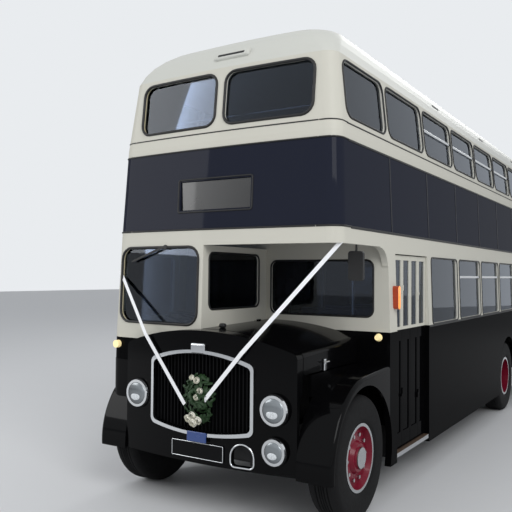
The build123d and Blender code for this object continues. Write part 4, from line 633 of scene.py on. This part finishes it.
# Driver's seat: a hide cushion and back, stuffed and sewn as the saloon seats are, on a plain
# pedestal bolted to the cab floor.
# hide: brown, half matt, with creases
leather = grain(finish("driver_hide", "#2a1d1a", 0.6), 33, 0.5, 0.7, 0.2)
driver = [
    pad(at(-0.64, 0.99, 1.35), (0.44, 0.38, 0.12), leather, 0.032, (0, 0, 1)),
    pad(at(-0.64, 1.172, 1.58), (0.44, 0.075, 0.53), leather, 0.022, (0, -1, 0), (-0.1, 0, 0)),
]
driver = join(driver, "driver_seat_stuffed")
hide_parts("driver_seat")
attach(driver, "bus")
pedestal = block("driver_pedestal", at(-0.64, 0.95, 1.21), (0.3, 0.1, 0.16), chassis, 0.008)
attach(pedestal, "bus")

# Steering wheel: a moulded round rim on three spokes and a boss, keyed to the column and square to
# it, so that it leans back with the column.
TILT = math.radians(20)
RIM, RIM_TUBE = 0.229, 0.014
column = Vector((0, math.sin(TILT), math.cos(TILT)))
boss = at(-0.6, 0.43, 1.0) + column * 0.6505
hub = boss + column * RIM_TUBE
clear()
bpy.ops.mesh.primitive_torus_add(
    location=hub, rotation=(-TILT, 0, 0), major_radius=RIM, minor_radius=RIM_TUBE,
    major_segments=48, minor_segments=10)
pieces = [soften(settle(bpy.context.object, "rim", rubber))]
pieces.append(rod("boss", boss + column * 0.001, boss + column * 0.027, 0.04, rubber, 20))
for turn in (0, math.pi, -QUARTER):
    out = Vector((math.cos(turn), math.sin(turn) * math.cos(TILT), -math.sin(turn) * math.sin(TILT)))
    pieces.append(rod("spoke", hub + out * 0.03, hub + out * 0.225, 0.009, rubber))
wheel = join(pieces, "steering_wheel_round")
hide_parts("steering_wheel")
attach(wheel, "steering_wheel")

# Head, fog and side lamps: plated shells let into the cowl, with domed fluted glasses. In the big
# ones a pale disc low in the glass is a painted highlight, and the small side lamps are lit.
# fluted glass over a mirror: grey where it faces the camera and darker towards the rim in painted
# shade, with upright ribs, and a pale disc low in it as a painted highlight; lit glass: warm and even
lens_glass = grain(finish("lens_glass", "#9aa0a4", 0.14, 0.6, 0.5), 25, 0.1, 0.2, 0.1, (4, 1, 1))
lens = lens_glass.node_tree
# base colour lighter where the glass faces the camera and dark at grazing angles: painted shade
shade = add(lens, "ValToRGB", {"Fac": add(lens, "LayerWeight", Blend=0.35).outputs["Facing"]})
shade.color_ramp.elements[0].color = linear("#8d9397")
shade.color_ramp.elements[1].color = linear("#26282a")
shade.color_ramp.elements[1].position = 0.5
lens.links.new(shade.outputs["Color"], lens.nodes["Principled BSDF"].inputs["Base Color"])
# a pale disc standing just in front of the lower part of each big lens: a painted highlight
painted_highlight_disc = grain(finish("painted_highlight_disc", "#d9dde0", 0.25, 0.3, 0.4), 16.7, 0.2, 0.35, 0.1, (4, 1, 1))
lit_lens = grain(finish("lit_lens", "#f3dfa6", 0.3, coat=0.3, glow=0.5), 16.7, 0.25, 0.4, 0.1)
# each lens: X, height and radius
LENSES = [(-0.72, 0.985, 0.1), (0.72, 0.985, 0.1), (0.724, 0.655, 0.084)]


def flat_dome(place, radius, scale, detail, material):
    clear()
    bpy.ops.mesh.primitive_uv_sphere_add(
        segments=2 * detail, ring_count=detail, radius=radius, location=place)
    o = bpy.context.object
    o.scale = scale
    return soften(settle(o, "lens", material), 1.2)


dress("lamps", [chrome, lit_lens], lambda f: 1 if f.center.z > 1.3 else 0)
lenses = []
for x, z, radius in LENSES:
    lenses.append(flat_dome(at(x, 0.017, z), radius, (1, 0.2, 1), 16, lens_glass))
    # the painted highlight disc sits low in front of the lens
    spot = at(x, -0.0005, z - radius * 0.3)
    lenses.append(flat_dome(spot, radius * 0.42, (1.25, 0.1, 0.75), 12, painted_highlight_disc))
lenses = join(lenses, "lamp_lenses")
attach(lenses, "bus")

# Trim on the cowl: a plated filler cap, a blank plate in a thin border, a blank blue plaque and the
# rim of the starting-handle opening, all screwed to the sheet.
# stove enamel: even, glossy blue
plaque_blue = grain(finish("plaque_blue", "#24407c", 0.25, coat=0.5), 83, 0.2, 0.32)
PLATE = (0.535, 0.13)
trim = join([
    block("cap", at(0, -0.012, 1.44), (0.15, 0.04, 0.085), chrome, 0.014, segments=3),
    ring(None, "front", at(-0.012, -0.007, 0.575), *PLATE, 0.008, 0.0035, chrome),
    ring("front_cowl", "front", at(0.428, AHEAD, 0.5825), 0.215, 0.191, 0.04, 0.008, chrome, 0.107),
], "cowl_trim")
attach(trim, "bus")
plaque = block("blue_plaque", at(0, -0.03, 0.695), (0.2, 0.012, 0.085), plaque_blue, 0.004)
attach(plaque, "bus")
plate = block("blank_plate", at(-0.012, 0.0, 0.575), (PLATE[0], 0.012, PLATE[1]), grille_black, 0.004)
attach(plate, "bus")

# Filler panel between the cab apron and the offside front wing: a pressed sheet that rests on the
# wing's round top and turns the corner to the cab side.
FILLER_FRONT = 0.19
clear()
bpy.ops.mesh.primitive_cube_add(size=1, location=at(-1.06, 0.2625, 1.0735))
filler = bpy.context.object
filler.scale = (0.316, 0.145, 0.357)
bpy.ops.object.transform_apply(location=True, rotation=False, scale=True)
pick(filler, lambda v: v.co.z < 1.0 and v.co.y + ORIGIN > 0.3)
bpy.ops.transform.translate(value=(0, 0, 0.154))


def front_corner(e):
    ends = [filler.data.vertices[k].co for k in e.vertices]
    return all(c.x < -1.2 and c.y + ORIGIN < FILLER_FRONT + 0.01 for c in ends)


pick(filler, front_corner, True)
bpy.ops.mesh.bevel(offset=0.12, segments=8, affect="EDGES")
bpy.ops.object.mode_set(mode="OBJECT")
filler = soften(settle(filler, "wing_filler", black))
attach(filler, "bus")

# Bonnet fittings: a plated catch with its handle low on the nearside, and a round rubber knob
# beside the cab. Both are fixed to the lid and lift with it.
knob = join([
    rod("stem", at(0.03, 0.3, 1.56), at(0.03, 0.3, 1.605), 0.014, rubber),
    soften(block("head", at(0.03, 0.3, 1.615), (0.06, 0.05, 0.04), rubber, 0.016, segments=3)),
], "bonnet_knob")
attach(knob, "bonnet")
catch = join([
    block("catch", at(0.912, 0.55, 1.31), (0.02, 0.035, 0.10), chrome, 0.005),
    rod("handle", at(0.928, 0.50, 1.335), at(0.928, 0.60, 1.335), 0.008, chrome),
], "bonnet_catch")
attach(catch, "bonnet")

# Sign: a blank black blind behind glass, in its box in the upper front, with a thin rubber frame
# pressed round the opening.
# roller blind behind glass: black with a sheen
sign_black = grain(finish("sign_blank", "#0c0c0d", 0.25, coat=0.5), 250, 0.2, 0.32)
sign = block("blank_sign", at(-0.016, 0.2375, 2.7775), (0.76, 0.006, 0.258), sign_black, 0.002)
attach(sign, "bus")
sign_frame = ring("upper_front", "front", at(-0.016, AHEAD, 2.7775), 0.8, 0.297, 0.02, 0.008, rubber)
sign_frame.name = "sign_frame"
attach(sign_frame, "bus")

# Ventilators: a dark slot under a pressed hood in the dome above the front windows, and small slots
# along the coves of both sides, riveted to the roof.
vents = [block("vent", at(0.08, 0.325, 4.045), (0.29, 0.02, 0.03), rubber, 0.008, (-0.5, 0, 0))]
for side in (-1, 1):
    for station in (3.2, 5.4, 7.6):
        place = at(side * 1.04, station, 4.06)
        vents.append(block("vent", place, (0.012, 0.24, 0.035), rubber, 0.004, (0, -side * 0.35, 0)))
vents = join(vents, "ventilators")
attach(vents, "bus")
hood = block("vent_hood", at(0.08, 0.345, 4.045), (0.37, 0.05, 0.085), roof_white, 0.022, (-0.5, 0, 0), 3)
soften(hood)
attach(hood, "bus")

# Ribbons: two taut strips of white satin, tied from the bouquet to the cab corner and to the canopy
# corner, each bent once where it passes over the edge of the cowl.
# satin: smooth, bright, with a soft sheen
RIBBON_WIDTH = 0.036
satin = grain(finish("satin", "#f0f1f3", 0.35), 12.5, 0.3, 0.42)
satin.node_tree.nodes["Principled BSDF"].inputs["Sheen Weight"].default_value = 0.3
# each ribbon: the points it runs through
ROUTES = {
    "ribbon_nearside": [at(1.176, 0.303, 2.343), at(0.44, -0.024, 1.424), at(0.09, -0.05, 1.01)],
    "ribbon_offside": [at(-1.168, 0.252, 2.11), at(-0.62, 0.012, 1.53), at(-0.115, -0.05, 0.96)],
}
for name, route in ROUTES.items():
    length, runs = 0, []
    for a, b in zip(route, route[1:]):
        run = (b - a).normalized()
        flat = Vector((0, 1, 0)).cross(run).normalized()
        out, middle = run.cross(flat), (a + b) / 2
        clear()
        bpy.ops.mesh.primitive_plane_add(size=1)
        o = bpy.context.object
        o.scale = ((b - a).length, RIBBON_WIDTH, 1)
        bpy.ops.object.transform_apply(location=False, rotation=False, scale=True)
        o.matrix_world = Matrix((
            (run.x, flat.x, out.x, middle.x),
            (run.y, flat.y, out.y, middle.y),
            (run.z, flat.z, out.z, middle.z),
            (0, 0, 0, 1),
        ))
        length += (b - a).length
        runs.append(settle(o, "run", satin))
    strip = join(runs, name)
    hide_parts("ribbons")
    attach(strip, "bus")

# Bouquet: white roses of cupped petals among green leaves, tied to the grille in a long oval. The
# roses and the leaves together take the place of the plain solid.
random.seed(7)
LEAVES, LEAF_WIDTH, LEAF_LENGTH = 190, 0.03, 0.075
BOUQUET_Z = 1.0
# half width and half height of the oval that the roses dome over, and of the leaves' spread
OVAL, SPREAD = (0.15, 0.235), (0.17, 0.23)
# petals: matt and milky; leaves: dark green with a waxy gloss
petal_white = grain(finish("petals", "#f1efe2", 0.6), 40, 0.55, 0.7)
leaf_green = grain(finish("leaves", "#233b20", 0.5, shine=0.3), 33, 0.4, 0.6)
# petals: where the row starts, count, tilt and size
PETAL_ROWS = ((math.pi, 3, 0.15, 0.55), (math.pi + 0.5, 4, 0.5, 0.8), (math.pi + 0.2, 5, 0.95, 1.0))
# roses: sideways and upward from the middle, turn about the stem, size
SPOTS = [
    (0.0, -0.185, 0.4, 1.2), (-0.05, -0.155, 1.9, 1.1), (0.05, -0.16, 3.1, 1.15), (0.005, -0.12, 4.2, 1.0),
    (0.035, 0.17, 2.2, 0.9), (0.075, 0.085, 5.0, 0.9), (0.05, 0.035, 0.9, 0.8), (-0.02, 0.19, 3.7, 0.75),
]


def turned(facing, turn):
    return (facing.to_track_quat("Z", "Y").to_matrix() @ Matrix.Rotation(turn, 3, "Z")).to_euler()


def rose(radius):
    # cupped petals in three rows round the middle, each a part of a sphere
    petals = []
    for start, count, tilt, size in PETAL_ROWS:
        for k in range(count):
            clear()
            bpy.ops.mesh.primitive_uv_sphere_add(segments=10, ring_count=6, radius=radius * size * 0.62)
            o = bpy.context.object
            pick(o, lambda v: v.co.x < -0.001)
            bpy.ops.mesh.delete(type="VERT")
            bpy.ops.object.mode_set(mode="OBJECT")
            o.scale = (0.6, 1.0, 1.0)
            o.rotation_euler = (0, tilt, 0)
            o.location = (radius * size * 0.25, 0, 0)
            bpy.ops.object.transform_apply(location=True, rotation=True, scale=True)
            o.rotation_euler = (0, 0, start + 2 * math.pi * k / count)
            petals.append(settle(o, "petal", petal_white))
    return soften(settle(join(petals, "rose"), "rose", petal_white), 1.5)


blooms, leaves = [], []
bloom = rose(0.042)
for u, v, turn, size in SPOTS:
    reach = (u / OVAL[0]) ** 2 + (v / OVAL[1]) ** 2
    facing = Vector((u * 3, -1, v * 2.2)).normalized()
    only(bloom)
    bpy.ops.object.duplicate()
    o = bpy.context.object
    o.scale = (size, size, size)
    o.rotation_euler = turned(facing, turn)
    o.location = at(-0.03 + u, -0.068 + 0.05 * reach, BOUQUET_Z + v)
    blooms.append(settle(o, "bloom", petal_white))
bpy.data.objects.remove(bloom)
for k in range(LEAVES):
    turn = random.uniform(0, 2 * math.pi)
    share = math.sqrt(random.uniform(0.0, 0.85))
    u, v = SPREAD[0] * share * math.cos(turn), SPREAD[1] * share * math.sin(turn)
    clear()
    bpy.ops.mesh.primitive_circle_add(vertices=10, radius=0.5, fill_type="TRIFAN")
    o = bpy.context.object
    o.scale = (LEAF_WIDTH, LEAF_LENGTH, 1)
    bpy.ops.object.transform_apply(location=False, rotation=False, scale=True)
    pick(o, lambda p: p.index == 0)
    bpy.ops.transform.translate(value=(0, 0, 0.006))
    bpy.ops.object.mode_set(mode="OBJECT")
    facing = Vector((u * 3.5, -0.45, v * 2.6)) + Vector([random.uniform(-0.35, 0.35) for axis in range(3)])
    o.rotation_euler = turned(facing, random.uniform(0, 6))
    depth = -0.06 + 0.075 * share ** 2 + random.uniform(-0.015, 0.03)
    o.location = at(-0.012 + u, depth, BOUQUET_Z + v)
    leaves.append(settle(o, "leaf", leaf_green))
bouquet = join(blooms, "bouquet_roses")
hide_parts("bouquet")
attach(bouquet, "bus")
leaves = join(leaves, "bouquet_leaves")
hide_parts("bouquet")
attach(leaves, "bus")

# Studio: the camera stands as in the photograph, low and close to the nearside front corner, under
# a soft pale dome with three large soft lamps, on a plain pale floor.
YAW, PITCH, ROLL = math.radians(32.09), math.radians(1.62), math.radians(0.46)
STAND = (3.442, -9.111, 2.067)
ahead = Vector((-math.sin(YAW) * math.cos(PITCH), math.cos(YAW) * math.cos(PITCH), math.sin(PITCH)))
right = Vector((math.cos(YAW), math.sin(YAW), 0))
up = right.cross(ahead)
across = right * math.cos(ROLL) + up * math.sin(ROLL)
upward = up * math.cos(ROLL) - right * math.sin(ROLL)
clear()
bpy.ops.object.camera_add()
camera = bpy.context.object
camera.matrix_world = Matrix((
    (across.x, upward.x, -ahead.x, STAND[0]),
    (across.y, upward.y, -ahead.y, STAND[1]),
    (across.z, upward.z, -ahead.z, STAND[2]),
    (0, 0, 0, 1),
))
camera.data.lens = 47.04
camera.data.sensor_width = 36
camera.data.clip_end = 200
scene = bpy.context.scene
scene.camera = camera
scene.view_settings.view_transform = "Standard"

# the dome lights the bus, and what the camera, mirrors and glass see behind it is the paler backdrop
world = bpy.data.worlds.new("studio")
scene.world = world
world.use_nodes = True
sky = world.node_tree
sky.nodes.clear()
rays = add(sky, "LightPath").outputs
seen = add(sky, "Math", {0: rays["Is Camera Ray"], 1: rays["Is Glossy Ray"]})
seen.operation = "MAXIMUM"
shown = add(sky, "Math", {0: seen.outputs[0], 1: rays["Is Transmission Ray"]})
shown.operation = "MAXIMUM"
blend = add(sky, "MixShader", {
    0: shown.outputs[0],
    1: add(sky, "Background", Color=linear("#f2f5fa"), Strength=0.55).outputs[0],
    2: add(sky, "Background", Color=linear("#e9ecef"), Strength=1.0).outputs[0],
})
add(sky, "OutputWorld", {"Surface": blend.outputs[0]})

# each lamp: place, aim, size and power
LAMPS = [
    ((9, -10, 9), (0, -1, 1.5), 7, 850),
    ((-9, -11, 6), (0, -2, 1.5), 6, 420),
    ((-1, 13, 11), (0, 3, 2), 7, 700),
]
for place, aim, size, power in LAMPS:
    bpy.ops.object.light_add(type="AREA", location=place)
    lamp = bpy.context.object
    lamp.data.size = size
    lamp.data.energy = power
    lamp.rotation_euler = (Vector(aim) - Vector(place)).to_track_quat("-Z", "Y").to_euler()

# painted floor: pale and matt
bpy.ops.mesh.primitive_plane_add(size=120)
floor = bpy.context.object
floor.name = "studio_floor"
floor.data.materials.append(grain(finish("studio_floor", "#d4d5d6", 0.7), 500, 0.65, 0.8))
